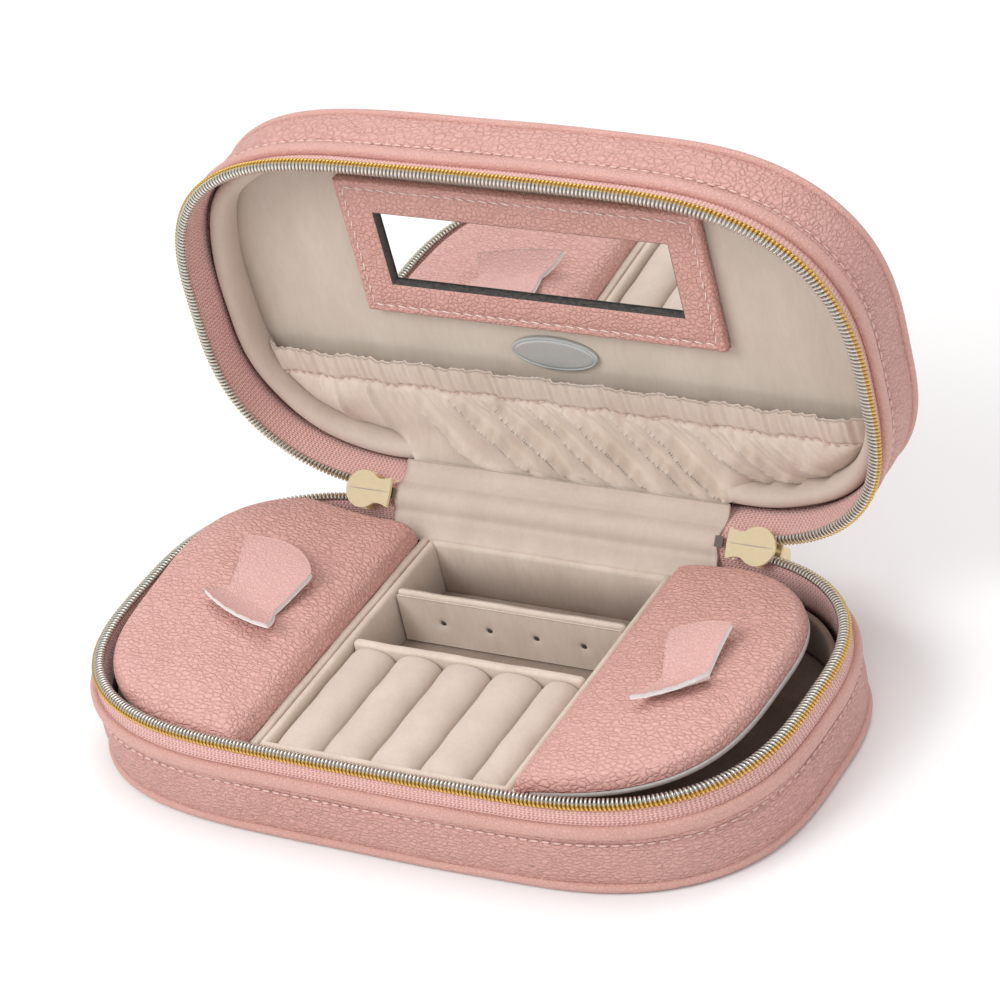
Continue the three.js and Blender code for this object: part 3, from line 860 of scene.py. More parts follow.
def tray():
    tray_walls()
    for side in COVER_SIDES:
        low, high = limits_of(node_points(f"{side}_partition"))
        dress(padded_bar(f"{side}_partition_board", low, high, 0.9), "base", "velvet", f"{side}_partition")
    low, high = limits_of(node_points("earring_board"))
    padded_board("earring_board", low + [0, 0.75, 0], high)
    dress(pierced_face(low, high), "base", "velvet")
    dress(painted_hole_shade(low), "base", "velvet")
    padded_board("roll_board", *limits_of(node_points("roll_board")))
    # The floor takes the darker velvet: painted shade.
    floor = disc("floor_velvet", inset_outline(-2.8), level(FLOOR_TOP), level(FLOOR_BOTTOM), VELVET_PAINTED_SHADE, 6)
    dress(floor, "base", "velvet", "inner_floor")


def tray_walls():
    path = ring_path(1.2, rounded_rectangle(TRAY_LOW[:2], TRAY_HIGH[:2], 1.6))
    low, high = TRAY_LOW[2], TRAY_HIGH[2]
    profile = [(0, low), (0, high - 1.3), (-0.25, high - 0.5), (-0.8, high - 0.05), (-1.5, high),
               (-2.1, high - 0.4), (-TRAY_WALL, high - 1.3), (-TRAY_WALL, low)]
    walls = sweep("tray_walls", path, waved(path, profile, [(1, 0.08, 5, 0.3)]), VELVET)
    dress(walls, "base", "velvet", "tray_frame")


def padded_board(node, low, high):
    bar = padded_bar(f"{node}_padded", low, high + [0, 0, 0.15], 1.15)
    dress(bar, "base", "velvet", node)


def pierced_face(low, high):
    """The board's front face: a velvet skin drawn into four small post holes."""
    xs = np.linspace(low[0] + 0.4, high[0] - 0.4, 240)
    zs = np.linspace(low[2] + 0.3, high[2] - 0.9, 60)
    x, z = np.meshgrid(xs, zs)
    y = np.full(x.shape, low[1] - 0.05)
    for place in POST_PLACES:
        away = np.hypot(x - place, z - POST_HEIGHT)
        y += 1.5 * np.exp(-(away / 0.72) ** 4) + 0.35 * np.exp(-(away / 1.7) ** 2)
    front = np.stack([x, y, z], axis=2)
    return sheet_piece("earring_board_face", in_base, front, front + np.array([0, 0.5, 0]), VELVET)


def painted_hole_shade(low):
    """Painted shade in the four holes: small dark bodies set at their bottoms."""
    centres = np.array([(place, low[1] + 0.3, POST_HEIGHT) for place in POST_PLACES])
    along = np.broadcast_to([1.0, 0, 0], centres.shape)
    normals = np.broadcast_to([0, -1.0, 0], centres.shape)
    return ellipsoids("earring_hole_painted_shade", centres, along, normals, (1.35, 1.35, 0.6), DARK_EDGE_AND_HOLE_SHADE)


ROLL_STEPS = np.concatenate([[0, 0.02, 0.05, 0.09], np.linspace(0.13, 0.87, 22), [0.91, 0.95, 0.98, 1]])
ROLL_SPRING = 14.2  # height at which a roll's straight sides turn into its round top


def ring_rolls():
    for k in range(1, 6):
        low, high = limits_of(node_points(f"ring_roll_{k}"))
        dress(ring_roll(f"roll_{k}", low, high, k), "base", "velvet", f"ring_roll_{k}")


def ring_roll(name, low, high, phase):
    """A padded velvet roll, front to back, its ends turned in."""
    half_width = (high[0] - low[0]) / 2
    middle = (low[0] + high[0]) / 2
    turn = np.linspace(-0.12, math.pi + 0.12, 22)
    rows = []
    for share in ROLL_STEPS:
        end = min(share, 1 - share)
        puff = (1 - (1 - min(end / 0.07, 1)) ** 2.2) ** 0.5
        y = np.full(len(turn), low[1] + share * (high[1] - low[1]))
        reach = (half_width - 0.05) * (0.93 + 0.07 * puff)
        x = middle + reach * np.sign(np.cos(turn)) * np.abs(np.cos(turn)) ** 0.8
        rise = (high[2] + 0.3 - ROLL_SPRING) * (0.80 + 0.20 * puff)
        z = ROLL_SPRING + rise * np.clip(np.sin(turn), -0.2, 1)
        z += waves((0.12, y * 0.35 + phase), (0.06, x * 0.8 + y * 0.6 + phase))
        feet = [[middle + side * reach, y[0], low[2] + 0.2] for side in (1, -1)]
        rows.append(np.vstack([feet[0], np.column_stack([x, y, z]), feet[1]]))
    count = len(rows[0])
    faces = [tuple(f) for f in grid_faces(len(rows), count, False, True)]
    last = (len(rows) - 1) * count
    faces += [tuple(range(count))[::-1], tuple(range(last, last + count))]
    return build(name, np.vstack(rows), faces, VELVET_ROLL)


tray()
ring_rolls()

# ---- covers ----

COVER_INSET = {-1: 3.4, 1: 6.3}
COVER_SQUEEZE = {-1: 1.0, 1: 0.955}
FOLD_EDGE = 39.7  # the cushion laps the top of the partition slightly
EDGE_ROUNDING = 2.4
TAB_THICKNESS = 1.3


def cover_name(side):
    return "left" if side < 0 else "right"


def shut_cover_box(side, part):
    """The corners of a cover's node with the cover lying flat."""
    return limits_of(cover_turned(node_points(f"{cover_name(side)}_cover_{part}"), side, -COVER_RAISE[side]))


def cover_outline(side, extra=0.0, fold_gap=0.0):
    """A cover's plan: the zip outline drawn in, cut off at its fold and at its back edge."""
    back_edge = shut_cover_box(side, "board")[1][1]
    fold_x = side * (FOLD_EDGE + fold_gap)
    line = clipped(inset_outline(-COVER_INSET[side] - extra), 0, side, side * 30)
    line[:, 0] = fold_x + (line[:, 0] - fold_x) * COVER_SQUEEZE[side]
    line = clipped(line, 0, side, fold_x)
    line = clipped(line, 1, -1, back_edge - extra)
    return smooth_corners(line)


def smooth_corners(line):
    """A closed line resampled evenly with its corners eased, by averaging each point with its neighbours."""
    points = ring_path(1.2, line).place
    for _ in range(2):
        points = (np.roll(points, -1, 0) + points + np.roll(points, 1, 0)) / 3
    return points


def cover_lift(side, x, y):
    """The left cover springs up a little at its back corner."""
    if side > 0:
        return np.zeros(len(x))
    return 3.4 * smooth((-x - 52) / 34) * smooth((y + 18) / 46)


def cushion_top(side):
    """The height function of a cover's padding: rounded at its edge, crowned, low along the fold."""
    pad_low = shut_cover_box(side, "pad")[0]
    fold_x = side * FOLD_EDGE

    def top(x, y, edge):
        near = np.clip(edge / EDGE_ROUNDING, 0, 1)
        lip = 3.3 * np.sqrt(1 - (1 - near) ** 2)
        crown = 3.6 * (1 - np.exp(-edge / 11))
        from_fold = np.abs(x - fold_x)
        crown *= 0.5 + 0.5 * (1 - np.exp(-from_fold / 14))
        drop = 2.1 * (1 - np.clip(from_fold / 7, 0, 1)) ** 2
        dents = waves((0.16, x * 0.23 + y * 0.11), (0.12, y * 0.31 - x * 0.07), (0.07, x * 0.6 + y * 0.5))
        dents *= np.clip(edge / 6, 0, 1)
        return pad_low[2] + 0.2 + lip + crown - drop + dents + cover_lift(side, x, y)

    return top


def cover(side):
    """A padded cover: the cushion, the board under it and the pull strip on it."""
    name = cover_name(side)
    body = f"{name}_cover"
    place = on_cover(side)
    board_low = shut_cover_box(side, "board")[0]
    pad_low = shut_cover_box(side, "pad")[0]
    fold_x = side * FOLD_EDGE
    top = cushion_top(side)

    def under(x, y, edge):
        sunk = 2.5 * (1 - np.clip((np.abs(x - fold_x) - 1.5) / 2, 0, 1))
        return pad_low[2] - 0.1 - sunk + cover_lift(side, x, y)

    pad = disc(f"{name}_cover_cushion", cover_outline(side), top, under, LEATHER_COVER, 34, place, 2.4)
    dress(pad, body, "pebbled_leather", f"{name}_cover_pad")

    def board_top(x, y, edge):
        return pad_low[2] - 0.15 + cover_lift(side, x, y)

    def board_under(x, y, edge):
        return board_low[2] + 0.25 + 0.3 * np.exp(-edge / 0.4) + cover_lift(side, x, y)

    line = cover_outline(side, 0.1, 4.2)
    rim = disc(f"{name}_cover_base_board", line, board_top, board_under, GREY_BOARD, 8, place, 2.2)
    dress(rim, body, "board", f"{name}_cover_board")
    tab(side, top, place)


# Each strip's plan on its cover: a waist, and two legs that widen and slide sideways as they go.
TAB_PLACE = {-1: {"centre": (-62.1, -3.9), "turn": -18, "waist": 9.0},
             1: {"centre": (71.2, -8.1), "turn": 18, "waist": 5.8}}
REAR_LEG = {-1: {"length": 21.0, "half": 14.0, "shift": -6.8, "bulge": 5.0, "rise": 2.0},
            1: {"length": 19.6, "half": 8.4, "shift": 2.4, "bulge": 2.6, "rise": 3.0}}
FRONT_LEG = {-1: {"length": 8.6, "half": 12.8, "shift": 2.6, "twist": 0.0, "rise": 3.4},
             1: {"length": 7.6, "half": 9.6, "shift": -2.2, "twist": 0.36, "rise": 3.0}}


def rear_row(leg, waist, across, v):
    """One row of the rear leg, v millimetres behind the waist."""
    share = v / leg["length"]
    half = waist + (leg["half"] - waist) * share
    x = across * half * (1 - 0.06 * share ** 10) + leg["shift"] * share
    y = v - leg["bulge"] * across ** 2 * share ** 2
    return x, y, leg["rise"] * math.sin(share * 1.5) ** 1.2


def front_row(leg, waist, across, v):
    """One row of the front leg, -v millimetres in front of the waist."""
    share = -v / leg["length"]
    half = waist + (leg["half"] - waist) * share ** 0.8
    x = across * half + leg["shift"] * share
    y = v + (1.5 * across ** 2 + leg["twist"] * across * half) * share
    return x, y, leg["rise"] * share ** 1.5


def tab_sheet(side):
    """The strip before it is laid on the cushion: rows of (x, y, rise) from its front end to its rear end."""
    rear, front, waist = REAR_LEG[side], FRONT_LEG[side], TAB_PLACE[side]["waist"]
    across = np.linspace(-1, 1, 21)
    rows = []
    for v in np.concatenate([np.linspace(-front["length"], 0, 14), np.linspace(0.8, rear["length"], 26)]):
        row = rear_row(rear, waist, across, v) if v >= 0 else front_row(front, waist, across, v)
        x, y, rise = row
        rows.append(np.column_stack([x, y, rise + 0.5 * across ** 2]))
    return np.array(rows)


def tab(side, top, place):
    """Leather pull strip, folded through a slit: a rear leg that lies back and a front leg that curls up."""
    name = cover_name(side)
    turn = math.radians(TAB_PLACE[side]["turn"])
    sheet = tab_sheet(side)
    c, s = math.cos(turn), math.sin(turn)
    plan = sheet[..., :2] @ np.array([[c, s], [-s, c]]) + np.array(TAB_PLACE[side]["centre"])
    flat = plan.reshape(-1, 2)
    edge = distance_to_line(flat, cover_outline(side))
    ground = top(flat[:, 0], flat[:, 1], edge).reshape(sheet.shape[:2] + (1,))
    laid = ground.mean() * 0.6 + ground * 0.4
    low_face = np.maximum(ground + 0.1, laid + sheet[..., 2:] - 0.1)
    upper = np.concatenate([plan, low_face + TAB_THICKNESS], axis=2)
    lower = np.concatenate([plan, low_face], axis=2)
    strip = sheet_piece(f"{name}_tab", place, upper, lower, [LEATHER_TAB, RAW_EDGE], 1)
    round_edges(strip, 0.16, 2, limit_method="ANGLE")
    dress(strip, f"{name}_cover", "pebbled_leather", f"{name}_pull_tab")


for _side in COVER_SIDES.values():
    cover(_side)

# ---- lid fittings ----


def inner_panel():
    def face(x, y, edge):
        pad = 0.35 * (1 - np.exp(-edge / 8))
        return PANEL_FACE - 0.45 + pad + waves((0.08, x * 0.06 + y * 0.05), (0.05, x * 0.11 - y * 0.09))

    panel = disc("lid_inner_panel_velvet", inset_outline(-5.0), face, level(5.6), VELVET_PANEL, 16, in_lid)
    dress(panel, "lid", "velvet", "lid_inner_panel")


def mirror_and_frame():
    """The mirror and its surround, whose profile offsets run from the outer edge (0) to the glass (1)."""
    low, high = lid_depth_box("mirror_frame")
    glass_low, glass_high = lid_depth_box("mirror")
    gap = 0.35
    groove = 0.22
    outer = dense_rectangle(low[:2], high[:2])
    inner = dense_rectangle(glass_low[:2] - gap, glass_high[:2] + gap)
    top = high[2]
    profile = [(0.0, low[2]), (0.0, top - 0.7), (0.012, top - 0.15), (0.06, top + 0.1), (0.17, top + 0.05),
               (groove, top - 0.25), (0.27, top + 0.08), (0.5, top + 0.2), (0.85, top + 0.12),
               (0.92, top - 0.05), (0.955, top - 0.4), (1.0, top - 1.5), (1.0, low[2])]
    path = Path(outer, inner - outer, lengths_along(outer)[:-1], True)
    recess = 4  # the profile's last sides, down to the glass, are dark
    kinds = [0] * (len(profile) - recess) + [1] * recess
    ring = sweep("mirror_surround", path, profile, [LEATHER_FRAME, DARK_EDGE_AND_HOLE_SHADE], in_lid, kinds)
    dress(ring, "lid", "pebbled_leather", "mirror_frame")
    seam = outer + (inner - outer) * groove
    line = np.column_stack([seam, np.full(len(seam), top - 0.02)])
    size = (2.7, 0.42, 0.36)
    row = stitches("mirror_surround_stitching", line, (0, 0, 1), 3.4, size, WHITE_THREAD, True, in_lid)
    dress(row, "lid", "pebbled_leather")
    glass = frame["nodes"]["mirror"]
    glass.data.materials.clear()
    glass.data.materials.append(MIRROR)


def dense_rectangle(low, high, steps=40):
    """A rectangle with the same number of points on each side, so that two of them pair up."""
    (x0, y0), (x1, y1) = low, high
    corners = [(x0, y1), (x1, y1), (x1, y0), (x0, y0)]
    points = []
    for (ax, ay), (bx, by) in zip(corners, corners[1:] + corners[:1]):
        for k in range(steps):
            points.append((ax + (bx - ax) * k / steps, ay + (by - ay) * k / steps))
    return np.array(points)


def plaque():
    """A blank oval plaque with a groove inside its rim."""
    low, high = lid_depth_box("plaque")
    centre = (low + high)[:2] / 2
    half = (high - low)[:2] / 2
    turn = -np.arange(72) / 72 * TAU
    line = centre + np.column_stack([half[0] * np.cos(turn), half[1] * np.sin(turn)])

    def face(x, y, edge):
        groove = 0.18 * np.exp(-((edge - 0.75) / 0.28) ** 2)
        return high[2] - 0.35 + 0.3 * np.clip(edge / 0.4, 0, 1) - groove

    badge = disc("blank_plaque", line, face, level(low[2] - 0.3), STEEL, 26, in_lid, 2.4)
    dress(badge, "lid", "plaque_metal", "plaque")


POCKET_COLUMNS = 420
HEADER_ROWS, BODY_ROWS = 19, 45
HEADER_HEIGHT = 8.4
LAP_HALF, LAP_FADE = 46, 9  # the cloth laps over the padding this far from the middle, then the lap fades
LAP_DEPTH = 17.7  # how far from the lid's outer panel the cloth ends where it laps
POCKET_BASE = PANEL_FACE + 1.6


def pocket():
    """Gathered pocket: a frilled header above a stitched line, then folds that fall to the bottom seam."""
    crest = lid_depth_box("lid_pocket")[1][2]
    header_depth, pinch = crest - 1.6, crest - 2.7
    x, top, seam_y, bottom, reach = pocket_lines(lid_depth_box("pocket_header")[0][1])
    header_steps = np.linspace(0, 1, HEADER_ROWS + 1)[:-1]
    down = np.concatenate([header_steps, 1 + np.linspace(0, 1, BODY_ROWS) ** 0.9])[:, None]
    header_share, body_share = np.clip(down, 0, 1), np.clip(down - 1, 0, 1)
    y = top + (seam_y - top) * header_share + (bottom - seam_y) * body_share
    x_grid = np.broadcast_to(x, y.shape)
    frill = pocket_frill(x_grid)
    header = header_depth + 0.35 * frill * (1.35 - 0.8 * header_share)
    header -= (header_depth - pinch) * header_share ** 2
    depth = np.where(down <= 1, header, pocket_body(x_grid, y, seam_y, bottom, pinch))
    depth = depth - 0.55 * np.exp(-((y - seam_y) / 0.55) ** 2)
    ease = np.sqrt(np.clip((reach - np.abs(x_grid)) / 6, 0, 1))
    depth = POCKET_BASE - 0.4 + (depth - POCKET_BASE + 0.4) * ease
    front = np.stack([x_grid, y, depth], axis=2)
    cloth = sheet_piece("gathered_pocket", in_lid, front, front - np.array([0, 0, 0.9]), VELVET)
    dress(cloth, "lid", "velvet", "lid_pocket", "pocket_header", "pocket_elastic")
    line = np.column_stack([x, seam_y, pinch + 0.05 + 0.06 * frill[0]])[np.abs(x) < reach - 4]
    row = stitches("pocket_stitching", line, (0, 0, 1), 2.5, (1.7, 0.4, 0.4), CREAM_THREAD, False, in_lid)
    dress(row, "lid", "velvet")


def lapping(x):
    """1 in the middle, where the pocket laps over the padding beside the hinge velvet, 0 at its sides."""
    return 1 - smooth((np.abs(x) - LAP_HALF) / LAP_FADE)


def pocket_lines(header_top):
    """The pocket's width positions, its top, seam and bottom lines over them, and its half width."""
    upper = inset_outline(-6.9)
    upper = upper[upper[:, 1] > 8]
    side = upper[upper[:, 0] > 60]
    side = side[np.argsort(side[:, 1])]
    upper = upper[np.argsort(upper[:, 0])]
    reach = float(np.interp(header_top + 0.8, side[:, 1], side[:, 0]))
    x = np.linspace(-reach, reach, POCKET_COLUMNS)
    bottom = np.interp(x, upper[:, 0], upper[:, 1]) + 3.4 * lapping(x)
    top = header_top + waves((0.35, x * 0.33), (0.25, x * 0.71 + 1), (0.15, x * 1.7))
    top -= 0.8 * np.cos(x / reach * 1.4)
    return x, top, np.minimum(top + HEADER_HEIGHT, bottom - 0.3), bottom, reach


def pocket_frill(x):
    """Small gathers across the header, at three uneven spacings."""
    first = (0.5, x * 2.05 + 1.4 * np.sin(x * 0.31))
    second = (0.36, x * 3.3 + 2.0 * np.sin(x * 0.17 + 1))
    return waves(first, second, (0.25, x * 1.13 + 0.4))


def pocket_body(x, y, seam_y, bottom, pinch):
    """Depths below the stitched line: the bag's bulge, its drapes and the fine gathers under the seam."""
    lapped = lapping(x)
    fall = y - seam_y
    span = np.maximum(bottom - seam_y, 0.5)
    lean = x - fall * np.clip((x + 75) / 55, 0.12, 1) * 1.15
    share = np.clip(fall / span, 0, 1)
    bulge = 4.3 * np.sin(math.pi * np.clip(share * 0.93 + 0.02, 0, 1)) ** 0.62 * np.clip(span / 14, 0, 1)
    gathers = (0.42, lean * 1.75 + 1.1 * np.sin(lean * 0.23)), (0.3, lean * 2.7 + 1.7 * np.sin(lean * 0.19))
    fine = 0.8 * waves(*gathers) * np.exp(-share * 4.5)
    ridges = 2.3 * fold_ridges(lean) * np.sin(math.pi * np.clip(share * 0.86 + 0.07, 0, 1)) ** 0.5
    soft = waves((0.25, x * 0.21 + y * 0.33), (0.2, x * 0.13 - y * 0.27 + 2)) * np.sin(math.pi * share)
    end_depth = POCKET_BASE + (LAP_DEPTH - POCKET_BASE) * lapped
    body = pinch + (end_depth - pinch) * share ** 2.2 + bulge * (0.78 - 0.4 * lapped) + fine + ridges + soft
    tucked = LAP_DEPTH + 0.5 + 12 * (1 - lapped) + 2 * np.maximum(45.8 - y, 0)
    return np.minimum(body, tucked)  # the cloth stays behind the edge of the hinge velvet


# Each drape's place along the leaning width, how wide it swells and how high.
DRAPES = [(-70, 2.8, 0.7), (-60, 4.0, 1.1), (-47, 3.2, 1.0), (-34, 4.4, 1.6), (-22, 3.6, 1.9),
          (-10, 3.0, 1.3), (2, 4.2, 1.8), (16, 3.4, 1.5), (25, 4.6, 2.0), (39, 3.2, 1.3),
          (50, 4.0, 1.5), (63, 3.0, 1.0)]


def fold_ridges(lean):
    """Drapes at uneven spacing across the pocket: each swells slowly and drops sharply into a crease."""
    total = np.zeros_like(lean)
    for crest, width, height in DRAPES:
        away = lean - crest
        behind = np.maximum(away, 0)
        swell = np.exp(np.minimum(away, 0) / width)
        crease = 1.5 * np.exp(-behind / 0.75) - 0.5 * np.exp(-behind / 2.4)
        total += height * np.where(away < 0, swell, crease)
    return total - 0.5


inner_panel()
mirror_and_frame()
plaque()
pocket()

# ---- hinge cloth ----

HINGE_REACH = 3.2  # how far the bending part of the cloth reaches to each side of the parting plane
GUSSET_HALF = 49.4
LEATHER_HALF = 47.0
TAPE_END_REACH = 61.5


def fold_sheet(name, closed_line, x0, x1, thickness, material, waviness=0.0):
    """A sheet across the hinge, drawn closed as (y, z) points and then opened by the blend's rule."""
    closed_line = np.asarray(closed_line, float)
    along = lengths_along(closed_line, False)
    samples = np.linspace(0, along[-1], 60)
    y, z = (np.interp(samples, along, closed_line[:, k]) for k in range(2))
    for values in (y, y, z, z):
        values[1:-1] = (values[:-2] + 2 * values[1:-1] + values[2:]) / 4
    weight = smooth((z - (HALF_HEIGHT - HINGE_REACH)) / (2 * HINGE_REACH))
    slope = unit(np.gradient(np.column_stack([y, z]), axis=0))
    columns = max(12, int(abs(x1 - x0) / 1.4))
    xs = np.linspace(x0, x1, columns)
    drop = back_line(np.abs(xs)) - DEPTH / 2
    layers = []
    for layer in (0.0, thickness):
        grid = []
        for k, s in enumerate(samples):
            move = layer + waviness * waves((0.6, xs * 0.066 + s * 0.25), (0.4, xs * 0.15 - s * 0.4))
            points = np.column_stack([xs, y[k] + drop + slope[k, 1] * move, z[k] - slope[k, 0] * move])
            grid.append(opened(points, LID_OPEN * weight[k]))
        layers.append(np.array(grid))
    sheet = sheet_piece(name, in_base, layers[0], layers[1], material)
    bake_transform(sheet)
    return sheet


def hinge_cloth():
    """The velvet gusset from the tray to the pocket, and the leather strip over the hinge outside."""
    back = TRAY_HIGH[1]
    top = TRAY_HIGH[2]
    above = 2 * HALF_HEIGHT
    velvet_line = [(back - 0.9, top - 0.9), (back - 0.3, top + 0.1), (back + 0.6, top + 0.6),
                   (48.2, 21.4), (49.3, 23.4), (50.4, 24.6), (50.8, 26.0), (50.9, HALF_HEIGHT),
                   (50.8, above - 26.0), (50.4, above - 23.8), (49.9, above - 22.0), (49.3, above - 20.8),
                   (48.5, above - 20.0), (47.5, above - 19.5), (46.7, above - 19.2)]
    sheet = fold_sheet("hinge_velvet", velvet_line, -GUSSET_HALF, GUSSET_HALF, 0.6, VELVET_ROLL, 0.2)
    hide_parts("base_gusset", "lid_gusset")
    base_y = DEPTH / 2 + WALL["base"] - 0.8
    lid_y = DEPTH / 2 + WALL["lid"] - 0.75
    outside_line = [(base_y, 18.8), (base_y, 21.0), (base_y - 0.1, 23.4), ((base_y + lid_y) / 2, HALF_HEIGHT),
                    (lid_y + 0.1, above - 23.4), (lid_y, above - 21.0), (lid_y, above - 18.8)]
    strip = fold_sheet("hinge_leather", outside_line, -LEATHER_HALF, LEATHER_HALF, 0.8, LEATHER_WALL, 0.15)
    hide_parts("base_hinge_strip", "lid_hinge_strip")


hinge_cloth()

# ---- sliders and pullers, drawn with the case closed and turned by half the lid's angle ----


def half_opened(points):
    return opened(points, LID_OPEN / 2)


def closed_chain_box(node):
    """The corners of a node on the zip chain with the case closed."""
    return limits_of(opened(node_points(node), -LID_OPEN / 2))


SLIDER_THICKNESS = 5.2
PLATE_THICKNESS = 0.95


def plate(name, outline, y0, y1, material, bevel=0.28):
    """A flat plate in the XZ plane with rounded edges."""
    count = len(outline)
    front = np.column_stack([outline[:, 0], np.full(count, y0), outline[:, 1]])
    back = np.column_stack([outline[:, 0], np.full(count, y1), outline[:, 1]])
    faces = [tuple(range(count)), tuple(range(2 * count - 1, count - 1, -1))]
    faces += [(k, (k + 1) % count, (k + 1) % count + count, k + count) for k in range(count)]
    piece = build(name, half_opened(np.vstack([front, back])), faces, material, sharp=True)
    round_edges(piece, bevel, 3, limit_method="ANGLE", angle_limit=math.radians(50))
    piece.data.polygons.foreach_set("use_smooth", np.ones(len(piece.data.polygons), bool))
    piece.modifiers.new("weighted", "WEIGHTED_NORMAL")
    apply_modifiers(piece)
    return piece


def slider_outline(x, z, side):
    """Shield shape: a round nose away from the gusset, a waist and a flared tail."""
    nose = np.linspace(-2.35, 2.35, 22)
    nose_points = [(x + side * (1.6 + 5.0 * math.cos(t)), z + 4.9 * math.sin(t)) for t in nose]
    tail = [(-2.6, 3.15), (-3.8, 3.05), (-5.2, 3.3), (-6.6, 3.75), (-6.8, 0), (-6.6, -3.75), (-5.2, -3.3),
            (-3.8, -3.05), (-2.6, -3.15)]
    return np.array(nose_points + [(x + side * u, z + v) for u, v in tail])


def slider_and_puller(name, side):
    """Two shield plates joined by a post, with the bridge that the puller hangs on."""
    low, high = closed_chain_box(f"{name}_slider")
    x, z = (low[0] + high[0]) / 2, HALF_HEIGHT
    inner, outer = low[1], low[1] + SLIDER_THICKNESS
    shield = slider_outline(x, z, side)
    pieces = [plate("inner", shield, inner, inner + PLATE_THICKNESS, GOLD),
              plate("outer", shield, outer - PLATE_THICKNESS, outer, GOLD)]
    post = np.array([(x + side * u, z + v) for u, v in ((1.8, -1.1), (5.6, -0.5), (5.6, 0.5), (1.8, 1.1))])
    pieces.append(plate("post", post, inner + 0.5, outer - 0.5, GOLD, 0.15))
    bridge_y = high[1]
    arch = [(-3.4, outer - 0.3), (-3.0, bridge_y - 1.2), (-2.0, bridge_y - 0.1), (2.0, bridge_y - 0.1),
            (3.0, bridge_y - 1.2), (3.4, outer - 0.3)]
    pieces.append(bent_strip("bridge", [(x + u, y) for u, y in arch], z, 2.0, 0.75))
    merged = merge(f"{name}_slider_body", pieces)
    dress(merged, f"{name}_slider", "gold_metal", f"{name}_slider")
    centre = np.array([[x - 0.15 * side, inner - 0.02, z]])
    along, facing = np.array([[1.0, 0, 0]]), np.array([[0, -1.0, 0]])
    seam = ellipsoids(f"{name}_slider_seam", centre, along, facing, (12.4, 0.3, 0.16), SILVER, half_opened)
    dress(seam, f"{name}_slider", "gold_metal")
    puller(name, x)


def bent_strip(name, line, z, width, thickness):
    """A gold strip bent in the XY plane, with its width along Z."""
    line = np.array(line, float)
    slope = unit(np.gradient(line, axis=0))
    normal = np.column_stack([-slope[:, 1], slope[:, 0]])
    a, b = line + normal * thickness / 2, line - normal * thickness / 2
    low, high = z - width / 2, z + width / 2
    rows = [[(*p, low), (*p, high), (*q, high), (*q, low)] for p, q in zip(a, b)]
    vertices = np.array(rows).reshape(-1, 3)
    faces = [tuple(f) for f in grid_faces(len(rows), 4, False, True)]
    last = (len(rows) - 1) * 4
    faces += [(0, 1, 2, 3), (last + 3, last + 2, last + 1, last)]
    piece = build(name, half_opened(vertices), faces, GOLD)
    round_edges(piece, 0.18, 2)
    return piece


def merge(name, pieces):
    """Several closed shells as one piece."""
    mesh = bmesh.new()
    for piece in pieces:
        mesh.from_mesh(piece.data)
    data = bpy.data.meshes.new(name)
    mesh.to_mesh(data)
    mesh.free()
    for material in pieces[0].data.materials:
        data.materials.append(material)
    for piece in pieces:
        bpy.data.objects.remove(piece)
    merged = bpy.data.objects.new(name, data)
    bpy.context.scene.collection.objects.link(merged)
    return merged


def puller(name, x):
    """Pull: a slim frame that hangs on the slider's bridge and widens to a rounded tip."""
    low, high = closed_chain_box(f"{name}_puller")
    start, tip = low[1], high[1]
    tip_radius = 2.4
    edge = []
    for share in np.linspace(0, 1, 12):
        half_width = 2.3 - 0.55 * math.sin(share * math.pi) * (1 - share) + 0.25 * share
        edge.append((start + (tip - start - tip_radius) * share, half_width))
    turn = np.linspace(math.pi / 2, -math.pi / 2, 12)
    end = [(tip - tip_radius + tip_radius * math.cos(t), 2.5 * math.sin(t)) for t in turn]
    outline = edge + end + [(y, -w) for y, w in reversed(edge)]
    near, far, window_half = start + 1.0, start + 4.6, 1.35
    window = [(near, window_half), (far, window_half), (far, -window_half), (near, -window_half)]
    half = 0.5
    blade = frame_plate(f"{name}_pull", outline, window, x - half, x + half)
    dress(blade, f"{name}_puller", "gold_metal", f"{name}_puller")


def frame_plate(name, outline, window, x0, x1):
    """A plate in the YZ plane with a window, made by filling between its outline and the window."""
    mesh = bmesh.new()
    loops = []
    for line in (outline, window):
        corners = [mesh.verts.new((x0, y, HALF_HEIGHT + z)) for y, z in line]
        loops += [mesh.edges.new((a, b)) for a, b in zip(corners, corners[1:] + corners[:1])]
    filled = bmesh.ops.triangle_fill(mesh, edges=loops, use_beauty=True)
    faces = [g for g in filled["geom"] if isinstance(g, bmesh.types.BMFace)]
    grown = bmesh.ops.extrude_face_region(mesh, geom=faces)
    moved = [g for g in grown["geom"] if isinstance(g, bmesh.types.BMVert)]
    bmesh.ops.translate(mesh, vec=(x1 - x0, 0, 0), verts=moved)
    bmesh.ops.recalc_face_normals(mesh, faces=mesh.faces)
    mesh.verts.index_update()
    points = np.array([v.co for v in mesh.verts])
    polygons = [[v.index for v in f.verts] for f in mesh.faces]
    mesh.free()
    piece = build(name, half_opened(points), polygons, GOLD, sharp=True)
    round_edges(piece, 0.22, 2, limit_method="ANGLE")
    return piece


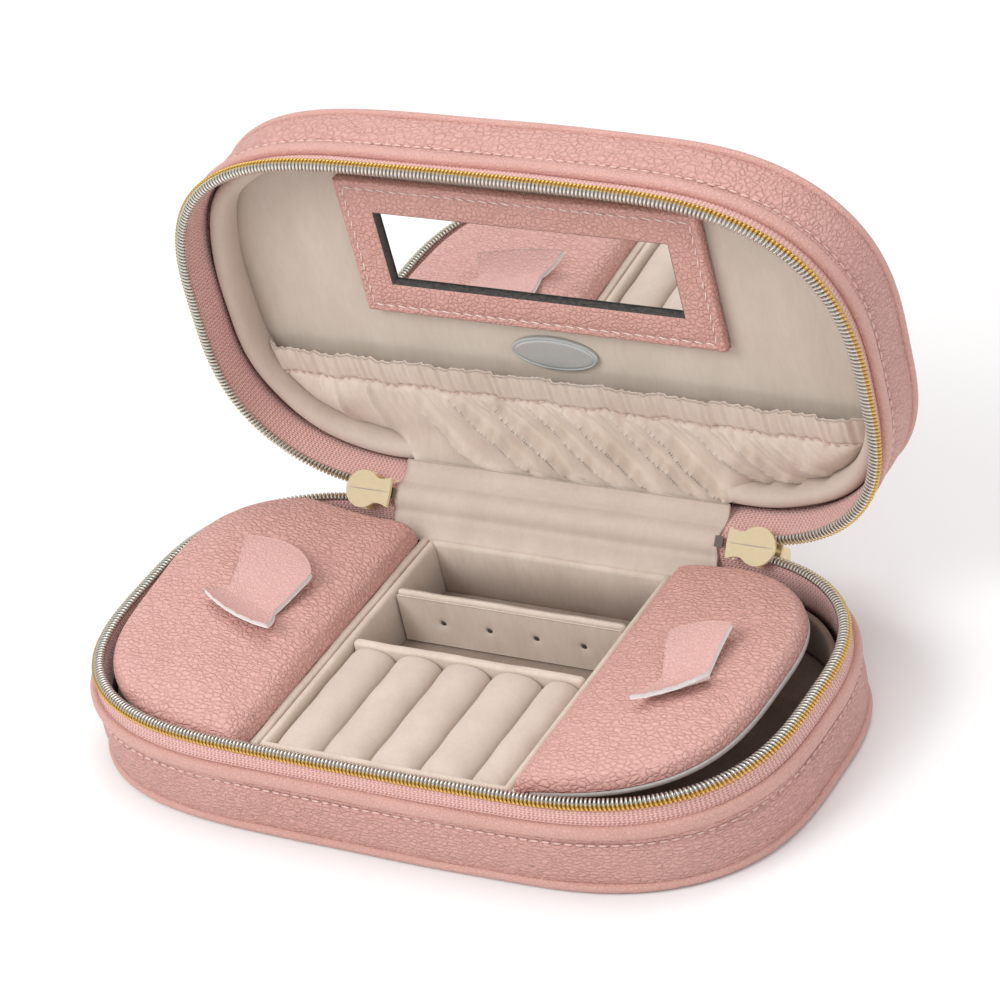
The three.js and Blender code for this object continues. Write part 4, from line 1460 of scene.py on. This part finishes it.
def chain_end(name, side):
    """The closed end of the chain beside the gusset, with its stop and a stretch of tape that bends."""
    low, high = closed_chain_box(f"{name}_zip_end")
    x = (low[0] + high[0]) / 2 + 1.9 * side
    square = ((-0.9, -1.2), (0.9, -1.2), (0.9, 1.2), (-0.9, 1.2))
    corners = np.array([(x + u, HALF_HEIGHT + v) for u, v in square])
    stop = plate(f"{name}_stop", corners, DEPTH / 2 - 1.3, DEPTH / 2 + 1.3, STOP_STEEL, 0.3)
    dress(stop, f"{name}_zip_end", "zip_teeth", f"{name}_zip_end")
    y = DEPTH / 2 - 0.1
    line = [(y + out, HALF_HEIGHT + rise) for out, rise in ((0.2, -4.6), (0, -2), (0, 2), (0.2, 4.6))]
    strip = fold_sheet(f"{name}_tape_end", line, side * TAPE_END, side * TAPE_END_REACH, 0.5, TAPE)


for _name, _side in COVER_SIDES.items():
    slider_and_puller(_name, _side)
    chain_end(_name, _side)

# ---- floor, light and camera ----


def add_stage():
    span, ground = 4.0, -0.3 * MM
    corners = [(x * span, y * span, ground) for x, y in ((-1, -1), (1, -1), (1, 1), (-1, 1))]
    data = bpy.data.meshes.new("floor")
    data.from_pydata(corners, [], [(0, 1, 2, 3)])
    s = Shader("floor_white")
    grain = s.noise(s.coordinates(), 8.0, 2.0)
    data.materials.append(s.finish(s.ramp(grain, (0.2, (0.86, 0.86, 0.86)), (0.8, (0.89, 0.89, 0.89))), 0.9))
    floor = bpy.data.objects.new("floor", data)
    bpy.context.scene.collection.objects.link(floor)


def area_light(name, place, target, size, power, colour=(1, 1, 1)):
    light = bpy.data.lights.new(name, "AREA")
    light.size = size
    light.energy = power
    light.color = colour
    lamp = bpy.data.objects.new(name, light)
    lamp.location = place
    lamp.rotation_euler = (Vector(target) - Vector(place)).to_track_quat("-Z", "Y").to_euler()
    bpy.context.scene.collection.objects.link(lamp)
    return lamp


def add_lights():
    world = bpy.data.worlds.new("studio")
    world.use_nodes = True
    background = world.node_tree.nodes["Background"]
    background.inputs["Color"].default_value = (1, 1, 1, 1)
    background.inputs["Strength"].default_value = 0.62
    bpy.context.scene.world = world
    centre = (0, 0, 0.04)
    key = area_light("key", (-0.55, -0.75, 0.95), centre, 0.7, 9.5)
    fill = area_light("fill", (0.95, -0.6, 0.7), centre, 0.9, 3.0)
    for lamp in (key, fill):
        lamp.visible_glossy = False  # soft boxes would burn out the small metal faces
    area_light("top", (0.0, 0.35, 1.1), centre, 0.8, 5.0)


def add_camera():
    """Looks from the front right and above, with the slight roll of a hand-held product view."""
    yaw, pitch, roll = math.radians(36.13), math.radians(33.11), math.radians(-13.41)
    target = Vector((22.9, -1.2, 74.2)) * MM
    distance = 1.0038
    ahead = Vector((-math.sin(yaw) * math.cos(pitch), math.cos(yaw) * math.cos(pitch), -math.sin(pitch)))
    right = Vector((math.cos(yaw), math.sin(yaw), 0))
    up = right.cross(ahead)
    turned_right = right * math.cos(roll) + up * math.sin(roll)
    turned_up = up * math.cos(roll) - right * math.sin(roll)
    data = bpy.data.cameras.new("camera")
    data.lens = 145.65
    data.sensor_width = 36
    data.clip_end = 20
    camera = bpy.data.objects.new("camera", data)
    rotation = Matrix((turned_right, turned_up, -ahead)).transposed().to_4x4()
    camera.matrix_world = Matrix.Translation(target - ahead * distance) @ rotation
    bpy.context.scene.collection.objects.link(camera)
    bpy.context.scene.camera = camera


add_stage()
add_lights()
add_camera()
bpy.context.scene.view_settings.view_transform = "Standard"
